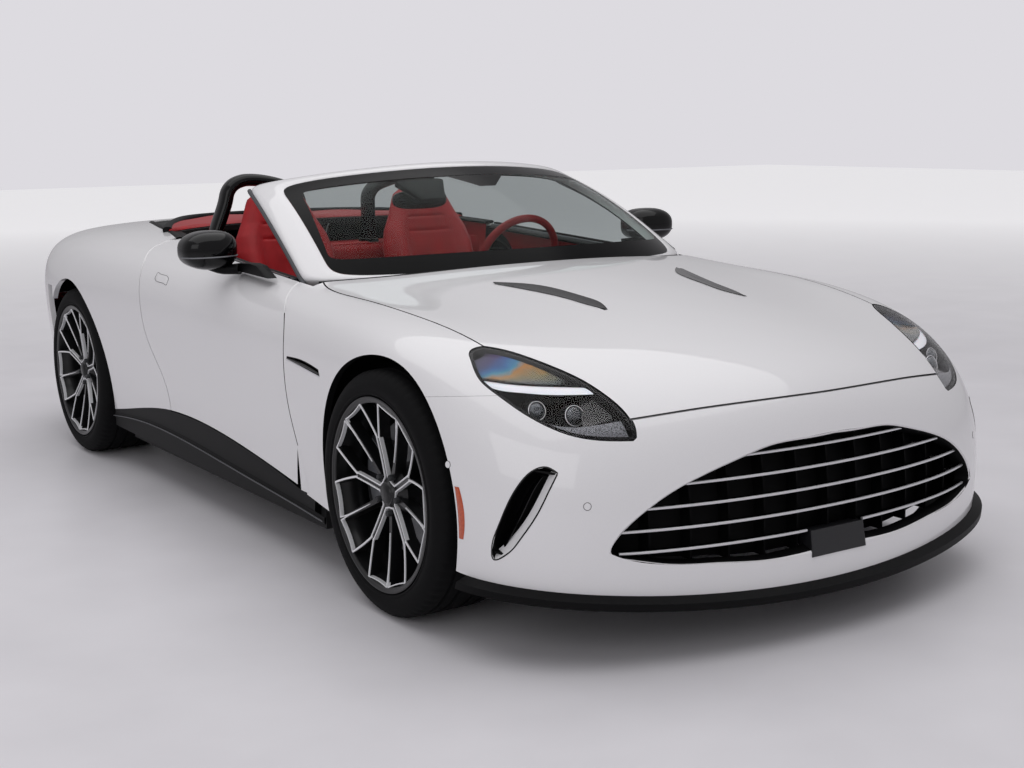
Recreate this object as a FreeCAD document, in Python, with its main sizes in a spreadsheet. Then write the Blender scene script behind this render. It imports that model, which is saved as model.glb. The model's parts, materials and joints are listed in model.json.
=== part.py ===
import FreeCAD, Part
import os
import math
import Sketcher

os.makedirs("parts", exist_ok=True)
doc = FreeCAD.newDocument("roadster")
V = FreeCAD.Vector

# Named sizes in millimetres, kept in one sheet
SIZES = {
    "car_length": 4495,
    "car_width": 1980,
    "car_height": 1250,
    "wheelbase": 2705,
    "front_overhang": 872,
    "skin_thick": 22,
    "panel_gap": 5,
    "seam_gap": 0.6,
    "seat_gap": 0.3,
    "overrun": 400,
    "door_skin_thick": 30,
    "door_depth": 110,
    "door_trim_inset": 12,
    "door_axis_x": 955,
    "door_axis_y": -790,
    "door_swing_radius": 1441,
    "arch_radius": 397,
    "arch_inner_x": 880,
    "well_radius": 440,
    "well_inner_x": 500,
    "lens_thick": 4,
    "lamp_depth": 75,
    "lamp_wall": 10,
    "vane_front": 14,
    "vane_back": 44,
    "vane_thick": 7,
    "vane_pitch": 46,
    "vane_low_z": 277,
    "fin_front": 44.3,
    "fin_back": 84,
    "fin_wide": 6,
    "fin_pitch": 112,
    "grille_frame_depth": 98,
    "tyre_radius": 355,
    "tyre_front_wide": 275,
    "tyre_rear_wide": 325,
    "tyre_outer_x": 972,
    "wall_in": 2,
    "shoulder_in": 16,
    "tread_in": 34,
    "rim_radius": 268,
    "rim_wall": 8,
    "bead_rise": 6,
    "bead_clear": 0.7,
    "flange_rise": 13,
    "flange_in": 5,
    "flange_deep": 13.5,
    "spoke_in": 12,
    "spoke_wide": 26,
    "spoke_deep": 34,
    "wheel_hub_radius": 82,
    "wheel_hub_in": 24,
    "wheel_hub_deep": 42,
    "wheel_bore_radius": 32,
    "disc_radius": 203,
    "disc_thick": 34,
    "disc_x": 838,
    "caliper_wide": 76,
    "spindle_radius": 31.6,
    "spindle_in": 40,
    "kingpin_x": 735,
    "kingpin_radius": 14,
    "kingpin_out": 20,
    "arm_low_z": 232,
    "arm_high_z": 470,
    "arm_thick": 26,
    "arm_spread": 110,
    "arm_eye_wide": 26,
    "tower_wide": 60,
    "beam_wide": 120,
    "beam_front_tall": 50,
    "beam_rear_tall": 150,
    "knuckle_wide": 56,
    "pin_clear": 0.4,
    "floor_z": 142,
    "floor_thick": 24,
    "bulkhead_thick": 30,
    "rib_deep": 70,
    "buffer_radius": 12,
    "sill_inner_x": 790,
    "sill_top_z": 240,
    "tunnel_wide": 220,
    "tunnel_top_z": 430,
    "rail_wide": 70,
    "rail_x": 400,
    "rail_z": 300,
    "rail_deep": 90,
    "cowl_front": 6,
    "cowl_back": 60,
    "cowl_long": 135,
    "engine_wide": 640,
    "engine_long": 600,
    "engine_tall": 470,
    "engine_y": -1440,
    "engine_z": 310,
    "seat_x": 335,
    "seat_wide": 440,
    "seat_back_y": 650,
    "seat_front_y": -60,
    "seat_top_z": 1108,
    "dash_front_y": -790,
    "dash_back_y": -430,
    "dash_wide": 1464,
    "dash_low_z": 600,
    "dash_top_z": 852,
    "console_back_y": 680,
    "console_top_z": 640,
    "trim_thick": 26,
    "trim_low_z": 645,
    "shelf_tall": 60,
    "shelf_deep": 110,
    "steer_x": 360,
    "steer_y": -115,
    "steer_z": 862,
    "steer_radius": 172,
    "steer_rim_radius": 15,
    "steer_tilt": 24,
    "steer_hub_radius": 62,
    "steer_hub_deep": 46,
    "column_radius": 24,
    "column_long": 430,
    "hoop_deep": 33,
    "hoop_thick": 13,
    "hoop_top_z": 1172,
    "hoop_bend": 95,
    "mirror_x": 958,
    "mirror_y": -175,
    "mirror_z": 968,
    "mirror_wide": 200,
    "mirror_tall": 122,
    "mirror_deep": 120,
    "mirror_arm_thick": 24,
    "splitter_thick": 34,
    "splitter_root": 150,
    "tip_radius": 42,
    "tip_wall": 4,
    "tip_long": 130,
    "tip_floor": 20,
    "keel_thick": 8,
    "glass_thick": 5,
    "frame_thick": 34,
    "frame_rise": 3,
}
sheet = doc.addObject("Spreadsheet::Sheet", "sizes")
for row, name in enumerate(SIZES, 1):
    sheet.set("A%d" % row, str(SIZES[name]))
    sheet.setAlias("A%d" % row, name)
doc.recompute()


def size(name):
    return float(sheet.get(name))


LENGTH = size("car_length")
HALF = size("car_width") / 2
TALL = size("car_height")
BASE = size("wheelbase")
FRONT = size("front_overhang")
REAR = LENGTH - BASE - FRONT
NOSE_AXLE = FRONT - LENGTH / 2
TAIL_AXLE = NOSE_AXLE + BASE
HUB_Z = size("tyre_radius")
GAP = size("panel_gap")
SEAM = size("seam_gap")
SEAT = size("seat_gap")
OVER = size("overrun")
SKIN = size("skin_thick")


# Places are shares: across of the half width, along in overhang and wheelbase steps, up of the height
def along(share):
    if share < 0:
        return NOSE_AXLE + share * FRONT
    if share < 1:
        return NOSE_AXLE + share * BASE
    return TAIL_AXLE + (share - 1) * REAR


def place(across_share, along_share, up_share):
    return V(across_share * HALF, along(along_share), up_share * TALL)


# Body surface, half net of control points from the nose to the tail, each row from sill to middle
body_shares = [
    [(0.934, -0.212, 0.184), (0.944, -0.303, 0.181), (0.949, -0.395, 0.178), (0.944, -0.487, 0.176),
     (0.909, -0.601, 0.173), (0.828, -0.716, 0.166), (0.707, -0.814, 0.157),
     (0.505, -0.900, 0.142), (0.253, -0.957, 0.131), (0.000, -0.971, 0.126)],
    [(0.934, -0.085, 0.176), (0.949, -0.212, 0.216), (0.960, -0.349, 0.232), (0.955, -0.475, 0.240),
     (0.919, -0.601, 0.240), (0.843, -0.716, 0.240), (0.722, -0.814, 0.240),
     (0.515, -0.905, 0.240), (0.258, -0.957, 0.240), (0.000, -0.971, 0.240)],
    [(0.934, 0.009, 0.160), (0.955, -0.108, 0.264), (0.968, -0.280, 0.320), (0.965, -0.452, 0.340),
     (0.924, -0.590, 0.344), (0.843, -0.710, 0.344), (0.722, -0.808, 0.344),
     (0.515, -0.900, 0.344), (0.258, -0.951, 0.344), (0.000, -0.966, 0.344)],
    [(0.934, 0.046, 0.152), (0.960, 0.002, 0.304), (0.975, -0.189, 0.400), (0.970, -0.395, 0.432),
     (0.924, -0.544, 0.438), (0.838, -0.670, 0.440), (0.712, -0.774, 0.440),
     (0.505, -0.871, 0.440), (0.253, -0.928, 0.444), (0.000, -0.946, 0.444)],
    [(0.934, 0.083, 0.148), (0.960, 0.043, 0.320), (0.978, -0.062, 0.456), (0.972, -0.280, 0.512),
     (0.924, -0.452, 0.524), (0.828, -0.579, 0.524), (0.697, -0.699, 0.516),
     (0.485, -0.814, 0.516), (0.242, -0.888, 0.520), (0.000, -0.911, 0.522)],
    [(0.934, 0.120, 0.144), (0.955, 0.087, 0.320), (0.980, 0.028, 0.496), (0.975, -0.108, 0.568),
     (0.924, -0.280, 0.596), (0.818, -0.418, 0.600), (0.677, -0.544, 0.588),
     (0.465, -0.670, 0.582), (0.232, -0.762, 0.586), (0.000, -0.791, 0.590)],
    [(0.934, 0.165, 0.140), (0.944, 0.143, 0.320), (0.975, 0.083, 0.512), (0.975, 0.032, 0.600),
     (0.924, -0.040, 0.640), (0.808, -0.166, 0.652), (0.657, -0.280, 0.640),
     (0.444, -0.395, 0.636), (0.222, -0.487, 0.642), (0.000, -0.521, 0.645)],
    [(0.929, 0.213, 0.136), (0.939, 0.202, 0.312), (0.960, 0.161, 0.480), (0.965, 0.120, 0.600),
     (0.924, 0.083, 0.660), (0.808, 0.050, 0.684), (0.652, 0.017, 0.674),
     (0.434, -0.062, 0.676), (0.217, -0.154, 0.684), (0.000, -0.189, 0.686)],
    [(0.927, 0.268, 0.132), (0.941, 0.268, 0.304), (0.947, 0.250, 0.448), (0.955, 0.220, 0.576),
     (0.924, 0.194, 0.656), (0.818, 0.168, 0.694), (0.667, 0.143, 0.698),
     (0.444, 0.113, 0.710), (0.222, 0.087, 0.720), (0.000, 0.076, 0.724)],
    [(0.927, 0.342, 0.128), (0.944, 0.342, 0.296), (0.944, 0.338, 0.432), (0.955, 0.324, 0.560),
     (0.929, 0.309, 0.652), (0.838, 0.290, 0.704), (0.697, 0.272, 0.724),
     (0.465, 0.250, 0.740), (0.232, 0.235, 0.748), (0.000, 0.228, 0.750)],
    [(0.929, 0.472, 0.126), (0.947, 0.472, 0.288), (0.947, 0.472, 0.424), (0.960, 0.472, 0.552),
     (0.944, 0.472, 0.652), (0.869, 0.472, 0.712), (0.727, 0.472, 0.744),
     (0.485, 0.472, 0.760), (0.242, 0.472, 0.764), (0.000, 0.472, 0.766)],
    [(0.929, 0.619, 0.128), (0.949, 0.619, 0.296), (0.955, 0.619, 0.432), (0.970, 0.619, 0.560),
     (0.960, 0.619, 0.656), (0.884, 0.619, 0.720), (0.737, 0.619, 0.756),
     (0.495, 0.619, 0.772), (0.247, 0.619, 0.776), (0.000, 0.619, 0.778)],
    [(0.931, 0.786, 0.132), (0.958, 0.786, 0.320), (0.978, 0.786, 0.464), (0.995, 0.786, 0.588),
     (0.970, 0.786, 0.680), (0.879, 0.786, 0.740), (0.727, 0.786, 0.772),
     (0.485, 0.786, 0.788), (0.242, 0.786, 0.792), (0.000, 0.786, 0.794)],
    [(0.934, 0.952, 0.136), (0.975, 0.952, 0.336), (1.000, 0.952, 0.488), (1.008, 0.952, 0.608),
     (0.965, 0.952, 0.700), (0.859, 0.952, 0.752), (0.707, 0.952, 0.778),
     (0.475, 0.952, 0.790), (0.237, 0.952, 0.794), (0.000, 0.952, 0.796)],
    [(0.929, 1.295, 0.140), (0.970, 1.295, 0.336), (0.990, 1.295, 0.488), (0.990, 1.295, 0.608),
     (0.934, 1.295, 0.696), (0.823, 1.295, 0.744), (0.672, 1.295, 0.764),
     (0.455, 1.295, 0.774), (0.227, 1.295, 0.778), (0.000, 1.295, 0.778)],
    [(0.909, 1.458, 0.144), (0.934, 1.513, 0.336), (0.944, 1.556, 0.488), (0.934, 1.600, 0.608),
     (0.879, 1.654, 0.684), (0.778, 1.719, 0.724), (0.646, 1.774, 0.740),
     (0.434, 1.828, 0.750), (0.217, 1.856, 0.755), (0.000, 1.867, 0.757)],
    [(0.899, 1.513, 0.148), (0.909, 1.600, 0.336), (0.909, 1.676, 0.480), (0.889, 1.741, 0.592),
     (0.828, 1.807, 0.652), (0.737, 1.856, 0.676), (0.616, 1.894, 0.686),
     (0.414, 1.932, 0.693), (0.207, 1.948, 0.696), (0.000, 1.954, 0.698)],
    [(0.889, 1.567, 0.152), (0.894, 1.665, 0.320), (0.889, 1.752, 0.448), (0.859, 1.823, 0.536),
     (0.798, 1.877, 0.572), (0.707, 1.916, 0.584), (0.591, 1.943, 0.590),
     (0.394, 1.968, 0.594), (0.197, 1.982, 0.595), (0.000, 1.986, 0.596)],
    [(0.879, 1.611, 0.160), (0.879, 1.709, 0.296), (0.869, 1.796, 0.384), (0.838, 1.861, 0.440),
     (0.783, 1.905, 0.456), (0.697, 1.937, 0.462), (0.581, 1.961, 0.464),
     (0.389, 1.983, 0.464), (0.192, 1.996, 0.464), (0.000, 1.999, 0.464)],
    [(0.869, 1.654, 0.172), (0.864, 1.741, 0.256), (0.848, 1.812, 0.304), (0.818, 1.867, 0.316),
     (0.768, 1.899, 0.318), (0.687, 1.924, 0.320), (0.571, 1.944, 0.320),
     (0.384, 1.957, 0.320), (0.192, 1.962, 0.320), (0.000, 1.965, 0.320)],
    [(0.859, 1.687, 0.184), (0.848, 1.752, 0.192), (0.828, 1.807, 0.204), (0.798, 1.845, 0.216),
     (0.753, 1.872, 0.224), (0.677, 1.892, 0.230), (0.566, 1.907, 0.235),
     (0.379, 1.919, 0.238), (0.192, 1.925, 0.240), (0.000, 1.926, 0.240)],
]


def full_net(rows):
    net = []
    for row in rows:
        right = [place(*p) for p in row]
        left = [V(-p.x, p.y, p.z) for p in right]
        net.append(left + right[-2::-1])
    return net


def inward(net, depth):
    """Move each control point along the net's own normal, towards the inside of the car."""
    last_i = len(net) - 1
    last_j = len(net[0]) - 1
    moved = []
    for i in range(last_i + 1):
        row = []
        for j in range(last_j + 1):
            down = net[min(i + 1, last_i)][j] - net[max(i - 1, 0)][j]
            side = net[i][min(j + 1, last_j)] - net[i][max(j - 1, 0)]
            normal = down.cross(side)
            normal.normalize()
            row.append(net[i][j] + normal * depth)
        moved.append(row)
    return moved


def cubic(net):
    def steps(count):
        inner = count - 3
        return [k / inner for k in range(inner + 1)], [4] + [1] * (inner - 1) + [4]
    knots_u, many_u = steps(len(net))
    knots_v, many_v = steps(len(net[0]))
    surface = Part.BSplineSurface()
    surface.buildFromPolesMultsKnots(net, many_u, many_v, knots_u, knots_v, False, False, 3, 3)
    return surface


def between(first, second):
    """Closed solid between two like surfaces, joined along their four borders."""
    faces = [first.toShape(), second.toShape()]
    u0, u1, v0, v1 = first.bounds()
    for u in (u0, u1):
        faces.append(Part.makeRuledSurface(first.uIso(u).toShape(), second.uIso(u).toShape()))
    for v in (v0, v1):
        faces.append(Part.makeRuledSurface(first.vIso(v).toShape(), second.vIso(v).toShape()))
    shell = Part.Shell(faces)
    shell.sewShape()
    solid = Part.Solid(shell)
    if solid.Volume < 0:
        solid.reverse()
    return solid


def layer(net, shallow, deep, span=(0, 1, 0, 1)):
    """Sheet of a net's surface from one depth to another, over a share of its rows and columns."""
    pair = []
    for depth in (shallow, deep):
        surface = cubic(inward(net, depth))
        surface.segment(*span)
        pair.append(surface)
    return between(*pair)


BODY_NET = full_net(body_shares)


def skin(shallow, deep, first=0, last=1, side=0):
    half = {-1: (0, 0.5), 0: (0, 1), 1: (0.5, 1)}[side]
    return layer(BODY_NET, shallow, deep, (first, last, half[0], half[1]))


# Cutting prisms from outlines drawn in plan, from the side and from the front
def run_curve(points):
    if len(points) == 2:
        return Part.LineSegment(points[0], points[1])
    curve = Part.BSplineCurve()
    curve.interpolate(points)
    return curve


def linked(runs):
    """Runs with a straight run added wherever one doesn't start where the last one ended."""
    out = []
    for k, points in enumerate(runs):
        out.append(points)
        start = runs[(k + 1) % len(runs)][0]
        if points[-1].distanceToPoint(start) > SEAT / 10:
            out.append([points[-1], start])
    return out


def grown(runs, amount, normal):
    """Runs moved sideways by an amount, outwards when positive, with mitred corners."""
    area = V(0, 0, 0)
    chain = [p for points in runs for p in points[:-1]]
    for k, point in enumerate(chain):
        area += point.cross(chain[(k + 1) % len(chain)])
    turn = 1 if area.dot(normal) > 0 else -1
    outs = []
    for points in runs:
        curve = run_curve(points)
        row = []
        for point in points:
            way = V(*curve.tangent(curve.parameter(point))[0])
            row.append(way.cross(normal) * turn)
        outs.append(row)
    moved = []
    for k, points in enumerate(runs):
        before = outs[k - 1][-1]
        after = outs[(k + 1) % len(runs)][0]
        row = []
        for j, point in enumerate(points):
            out = outs[k][j]
            other = before if j == 0 else after if j == len(points) - 1 else out
            row.append(point + (out + other) * (amount / (1 + out.dot(other))))
        moved.append(row)
    return moved


def outline_face(runs, amount, normal):
    runs = linked(runs)
    if amount:
        runs = grown(runs, amount, normal)
    return Part.Face(Part.Wire([run_curve(points).toShape() for points in runs]))


def plan_prism(runs, side=1, grow=0):
    """Prism over an outline of (across, along) shares, reaching from below to above the car."""
    flat = [[V(side * p[0] * HALF, along(p[1]), 0) for p in points] for points in runs]
    face = outline_face(flat, grow, V(0, 0, 1))
    face.translate(V(0, 0, -OVER))
    return face.extrude(V(0, 0, TALL + 2 * OVER))


def side_prism(runs, side=1, grow=0):
    """Prism over an outline of (along, up) shares, past one side or both."""
    flat = [[V(0, along(p[0]), p[1] * TALL) for p in points] for points in runs]
    face = outline_face(flat, grow, V(1, 0, 0))
    reach = HALF + OVER
    if side == 0:
        face.translate(V(-reach, 0, 0))
        return face.extrude(V(2 * reach, 0, 0))
    return face.extrude(V(side * reach, 0, 0))


def front_prism(runs, near_share, far_share, side=1, grow=0):
    """Prism over an outline of (across, up) shares, between two places along the car."""
    flat = [[V(side * p[0] * HALF, 0, p[1] * TALL) for p in points] for points in runs]
    face = outline_face(flat, grow, V(0, 1, 0))
    face.translate(V(0, along(near_share), 0))
    return face.extrude(V(0, along(far_share) - along(near_share), 0))


def box(x0, x1, y0, y1, z0, z1):
    return Part.makeBox(x1 - x0, y1 - y0, z1 - z0, V(x0, y0, z0))


def arch_cutter(y, side, radius, inner_x):
    start = V(side * inner_x, y, HUB_Z)
    return Part.makeCylinder(radius, OVER + HALF - inner_x, start, V(side, 0, 0))


NODES = []


def node(label, shape):
    """Keep a finished shape as one labelled document object."""
    thing = doc.addObject("Part::Feature", label)
    thing.Shape = shape
    thing.Placement = FreeCAD.Placement()
    thing.Label = label
    NODES.append(thing)
    return thing


def keep(thing, label):
    thing.Label = label
    NODES.append(thing)
    return thing


# Shut lines, as shares
bonnet_front_shares = [(0, 0.528), (0.083, 0.528), (0.280, 0.525), (0.407, 0.520),
                       (0.530, 0.512), (0.620, 0.505)]
bonnet_nose_shares = [(0, -1.000), (0.581, -1.000)]
bonnet_lamp_shares = [(0.583, -0.779), (0.588, -0.729), (0.605, -0.658), (0.624, -0.586), (0.646, -0.519),
                      (0.679, -0.428), (0.724, -0.321), (0.759, -0.270)]
bonnet_side_shares = [(0.759, -0.270), (0.769, -0.085), (0.783, 0.044), (0.790, 0.144),
                      (0.789, 0.234), (0.766, 0.262)]
bonnet_rear_shares = [(0.766, 0.262), (0.600, 0.222), (0.303, 0.194), (0, 0.184)]
lamp_inner_shares = [(0.590, -0.794), (0.583, -0.779), (0.588, -0.729), (0.605, -0.658),
                     (0.624, -0.586), (0.646, -0.519), (0.679, -0.428), (0.724, -0.321),
                     (0.759, -0.270)]
lamp_back_shares = [(0.759, -0.270), (0.804, -0.272), (0.822, -0.296)]
lamp_outer_shares = [(0.822, -0.296), (0.835, -0.334), (0.852, -0.407), (0.841, -0.486),
                     (0.821, -0.556), (0.784, -0.636), (0.743, -0.693), (0.671, -0.754),
                     (0.601, -0.794)]
vent_outer_shares = [(0.380, 0.098), (0.322, 0.062), (0.292, 0.005), (0.281, -0.175)]
vent_inner_shares = [(0.274, -0.175), (0.278, 0.005), (0.304, 0.070), (0.375, 0.104)]
seam_shares = [(-0.486, 0.551), (-0.398, 0.546), (-0.251, 0.534)]
door_front_shares = [(0.309, 0.720), (0.290, 0.690), (0.242, 0.601), (0.239, 0.532),
                     (0.235, 0.424), (0.209, 0.272), (0.201, 0.200)]
door_sill_shares = [(0.201, 0.200), (0.358, 0.245), (0.516, 0.272), (0.618, 0.269)]
door_rear_shares = [(0.618, 0.269), (0.624, 0.334), (0.679, 0.487), (0.692, 0.601),
                    (0.718, 0.699), (0.748, 0.738), (0.756, 0.757)]
strake_top_shares = [(0.228, 0.538), (0.185, 0.540), (0.140, 0.530)]
strake_low_shares = [(0.137, 0.514), (0.185, 0.523), (0.228, 0.531)]
belt_shares = [(0.807, 0.317), (0.798, 0.500), (0.778, 0.650), (0.742, 0.748)]
deck_side_shares = [(0.742, 0.748), (0.713, 0.795), (0.660, 0.900), (0.565, 1.111)]
deck_rear_shares = [(0.565, 1.111), (0.480, 1.190), (0.300, 1.215), (0, 1.222)]
skirt_top_shares = [(0.120, 0.170), (0.221, 0.198), (0.358, 0.245), (0.516, 0.272),
                    (0.618, 0.269), (0.853, 0.194), (0.900, 0.180)]
grille_top_shares = [(0, 0.445), (0.101, 0.4424), (0.232, 0.437), (0.303, 0.424),
                     (0.434, 0.394), (0.545, 0.358), (0.629, 0.314), (0.677, 0.276),
                     (0.694, 0.246)]
grille_low_shares = [(0.694, 0.246), (0.646, 0.229), (0.548, 0.213), (0.417, 0.204),
                     (0.271, 0.193), (0.140, 0.191), (0, 0.191)]
intake_inner_shares = [(0.791, 0.410), (0.812, 0.380), (0.844, 0.325), (0.876, 0.272), (0.901, 0.234)]
intake_low_shares = [(0.901, 0.234), (0.914, 0.224), (0.918, 0.238)]
intake_outer_shares = [(0.918, 0.238), (0.911, 0.290), (0.888, 0.354), (0.862, 0.394), (0.835, 0.416)]
intake_top_shares = [(0.835, 0.416), (0.811, 0.4216), (0.791, 0.410)]
boot_front_shares = [(0, 1.240), (0.300, 1.233), (0.420, 1.222)]
boot_side_shares = [(0.440, 1.240), (0.560, 1.560), (0.640, 1.850), (0.650, 1.950)]
tail_seam_shares = [(1.300, 0.560), (1.700, 0.545), (2.100, 0.520)]


def mirrored_runs(runs):
    """Runs on one side from the middle to the middle, closed by their mirror image."""
    back = [[(-p[0], p[1]) for p in reversed(points)] for points in runs]
    first = back[0][:-1] + runs[0]
    last = runs[-1] + back[-1][1:]
    if len(runs) == 2:
        return [first, last]
    return [first] + runs[1:-1] + [last] + back[-2:0:-1]


def bonnet_prism(grow=0):
    plan_shares = [bonnet_nose_shares, [bonnet_nose_shares[-1], bonnet_lamp_shares[0]],
                   bonnet_lamp_shares, bonnet_side_shares, bonnet_rear_shares]
    above_shares = [bonnet_front_shares, [bonnet_front_shares[-1], (1.2, 0.505)],
                    [(1.2, 0.505), (1.2, 1)], [(1.2, 1), (0, 1)]]
    upper = front_prism(mirrored_runs(above_shares), -1.2, 0.5, 1, grow)
    return plan_prism(mirrored_runs(plan_shares), 1, grow).common(upper)


def lamp_prism(side, grow=0):
    return plan_prism([lamp_inner_shares, lamp_back_shares, lamp_outer_shares], side, grow)


def door_prism(side, grow=0):
    roof_shares = [(0.756, 0.900), (0.309, 0.900)]
    return side_prism([door_front_shares, door_sill_shares, door_rear_shares, roof_shares],
                      side, grow)


def cabin_prism(grow=0):
    """Opening of the cabin and of the folded roof behind it, in plan."""
    corner_shares = [bonnet_rear_shares[0], (0.807, 0.262), (0.807, 0.317)]
    plan_shares = [bonnet_rear_shares[::-1], corner_shares[:2], corner_shares[1:], belt_shares,
                   deck_side_shares, deck_rear_shares]
    return plan_prism(mirrored_runs(plan_shares), 1, grow)


def boot_prism(grow=0):
    back_shares = [(0.650, 1.950), (0.600, 2.200), (0, 2.200)]
    plan_shares = [boot_front_shares, [boot_front_shares[-1], boot_side_shares[0]],
                   boot_side_shares, back_shares[:2], back_shares[1:]]
    return plan_prism(mirrored_runs(plan_shares), 1, grow)


def arches(radius_name="arch_radius", inner_name="arch_inner_x"):
    cuts = []
    for y in (NOSE_AXLE, TAIL_AXLE):
        for side in (-1, 1):
            cuts.append(arch_cutter(y, side, size(radius_name), size(inner_name)))
    return cuts


def cut(shape, *tools):
    for tool in tools:
        shape = shape.cut(tool)
    return shape


def solids(shape, least_share=0.02):
    """The real pieces of a result, without slivers, as one shape."""
    biggest = max(s.Volume for s in shape.Solids)
    found = [s for s in shape.Solids if s.Volume > least_share * biggest]
    if len(found) == 1:
        return found[0]
    return Part.makeCompound(found)


# Bonnet, hinged along its front edge, with two slim slots
bonnet = skin(0, SKIN, 0.1, 0.55).common(bonnet_prism())
for side in (-1, 1):
    bonnet = bonnet.cut(plan_prism([vent_outer_shares, vent_inner_shares], side))
node("bonnet", solids(bonnet))


# Front wings, from the bumper seam back to the doors, each with a slot for its strake
def wing_prism(side, grow=0):
    low_shares = [(-0.251, 0.534), (-0.251, 0.050), (0.120, 0.050), (0.120, 0.170), (0.201, 0.192)]
    low = [low_shares[k:k + 2] for k in range(len(low_shares) - 1)]
    top_shares = [(0.309, 0.720), (0.309, 0.900), (-0.486, 0.900)]
    return side_prism([seam_shares] + low + [door_front_shares[::-1], top_shares[:2], top_shares[1:]],
                      side, grow)


for side, name in ((-1, "R"), (1, "L")):
    wing = skin(0, SKIN, 0.08, 0.6, side)
    wing = wing.common(wing_prism(side))
    wing = cut(wing, bonnet_prism(GAP), lamp_prism(side, SEAM), door_prism(side, GAP),
               cabin_prism(), side_prism([strake_top_shares, strake_low_shares], side), *arches())
    node("wing_" + name, solids(wing))

# Front bumper with the grille and corner openings
bumper = skin(0, SKIN, 0, 0.32)
for side in (-1, 1):
    bumper = cut(bumper, lamp_prism(side, SEAM), wing_prism(side, SEAM))
    intake_runs = [intake_inner_shares, intake_low_shares[:2], intake_low_shares[1:],
                   intake_outer_shares, intake_top_shares[:2], intake_top_shares[1:]]
    bumper = cut(bumper, front_prism(intake_runs, -1.1, -0.5, side))
grille_runs = mirrored_runs([grille_top_shares, grille_low_shares])
bumper = bumper.common(box(-HALF, HALF, along(-1.2), along(-0.15), 0, TALL))
bumper = cut(bumper, bonnet_prism(GAP), front_prism(grille_runs, -1.2, -0.6), *arches())
node("front_bumper", solids(bumper))

# Grille of curved vanes over upright fins, in a frame behind the opening
inner_grille = front_prism(grille_runs, -1.2, -0.6, 1, -SEAM)
vane_layer = skin(size("vane_front"), size("vane_back"), 0, 0.3)
vanes = []
for k in range(5):
    low = size("vane_low_z") + k * size("vane_pitch")
    slab = box(-HALF, HALF, along(-1.2), along(-0.6), low, low + size("vane_thick"))
    vanes += vane_layer.common(slab).common(inner_grille).Solids
node("grille_vanes", Part.makeCompound(vanes))
fin_layer = skin(size("fin_front"), size("fin_back"), 0, 0.3)
frame_layer = skin(size("fin_back") + SEAT, size("grille_frame_depth"), 0, 0.3)
fins = frame_layer.common(inner_grille).Solids
count = int(grille_low_shares[0][0] * HALF / size("fin_pitch"))
for k in range(-count, count + 1):
    x = k * size("fin_pitch")
    slab = box(x - size("fin_wide") / 2, x + size("fin_wide") / 2, along(-1.2), along(-0.6), 0, TALL)
    fins += fin_layer.common(slab).common(inner_grille).Solids
node("grille_fins", Part.makeCompound(fins))

# Headlamps: a bowl behind a clear lens
for side, name in ((-1, "R"), (1, "L")):
    outline = lamp_prism(side)
    lens = skin(0, size("lens_thick"), 0.05, 0.4, side).common(outline)
    low = box(-HALF, HALF, along(-1.1), along(0), 0.45 * TALL, TALL).cut(bonnet_prism(GAP))
    node("headlamp_lens_" + name, solids(lens.common(low)))
    bowl = skin(size("lens_thick") + SEAT, size("lamp_depth"), 0.05, 0.4, side)
    bowl = bowl.common(outline).common(low)
    deep = size("lamp_depth") - size("lamp_wall")
    hollow = skin(0, deep, 0.05, 0.4, side).common(lamp_prism(side, -size("lamp_wall")))
    node("headlamp_" + name, solids(bowl.cut(hollow)))


# Doors: outer panel and inner trim
def door_sweep(side, less=0):
    """What the rear edge of a door sweeps inside, round its hinge line."""
    foot = V(side * size("door_axis_x"), size("door_axis_y"), -OVER)
    return Part.makeCylinder(size("door_swing_radius") - less, TALL + 2 * OVER, foot)


for side, name in ((-1, "R"), (1, "L")):
    door = skin(0, size("door_skin_thick"), 0.35, 0.75, side)
    door = door.common(door_prism(side)).common(door_sweep(side))
    node("door_" + name, solids(door.cut(cabin_prism())))
    trim = skin(size("door_skin_thick") + SEAT, size("door_depth"), 0.35, 0.75, side)
    trim = trim.common(door_prism(side, -size("door_trim_inset"))).common(door_sweep(side, GAP))
    trim = trim.cut(cabin_prism())
    node("door_trim_" + name, solids(trim))


# Side skirts between the wheel arches, below the doors
def skirt_prism(side, grow=0):
    low_shares = [skirt_top_shares[-1], (0.900, 0), (0.120, 0)]
    return side_prism([skirt_top_shares, low_shares[:2], low_shares[1:]], side, grow)


for side, name in ((-1, "R"), (1, "L")):
    skirt = skin(0, SKIN, 0.3, 0.8, side).common(skirt_prism(side))
    node("side_skirt_" + name, solids(cut(skirt, door_prism(side, GAP), *arches())))

# Rear body: haunches, deck surround and tail down to the bumper seam
low_both = side_prism([tail_seam_shares, [(2.100, 0.520), (2.100, 0)], [(2.100, 0), (1.300, 0)]],
                      0)
rear = skin(0, SKIN, 0.5, 1)
rear = rear.cut(box(-HALF - OVER, HALF + OVER, -LENGTH, along(0.600), -OVER, TALL))
rear = cut(rear, low_both, cabin_prism(), boot_prism(GAP), *arches())
for side in (-1, 1):
    rear = cut(rear, door_prism(side, GAP), skirt_prism(side, SEAM))
    ahead = side_prism([door_rear_shares, [door_rear_shares[-1], (0.600, 0.757)],
                        [(0.600, 0.757), (0.600, 0.269)]], side)
    rear = rear.cut(ahead)
node("rear_body", solids(rear))

# Boot lid, hinged along its front edge
node("boot_lid", solids(skin(0, SKIN, 0.7, 1).common(boot_prism()).cut(low_both)))


# Rear bumper with the tail light strip above it
def lamp_strip(less=0):
    return box(less - 0.86 * HALF, 0.86 * HALF - less, along(1.5), along(2.2),
               0.462 * TALL + less, 0.488 * TALL - less)


rear_bumper = skin(0, SKIN, 0.75, 1).common(low_both)
node("rear_bumper", solids(cut(rear_bumper, lamp_strip(), *arches())))
node("tail_lights", solids(skin(0, SKIN, 0.8, 1).common(lamp_strip(SEAM))))

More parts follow.
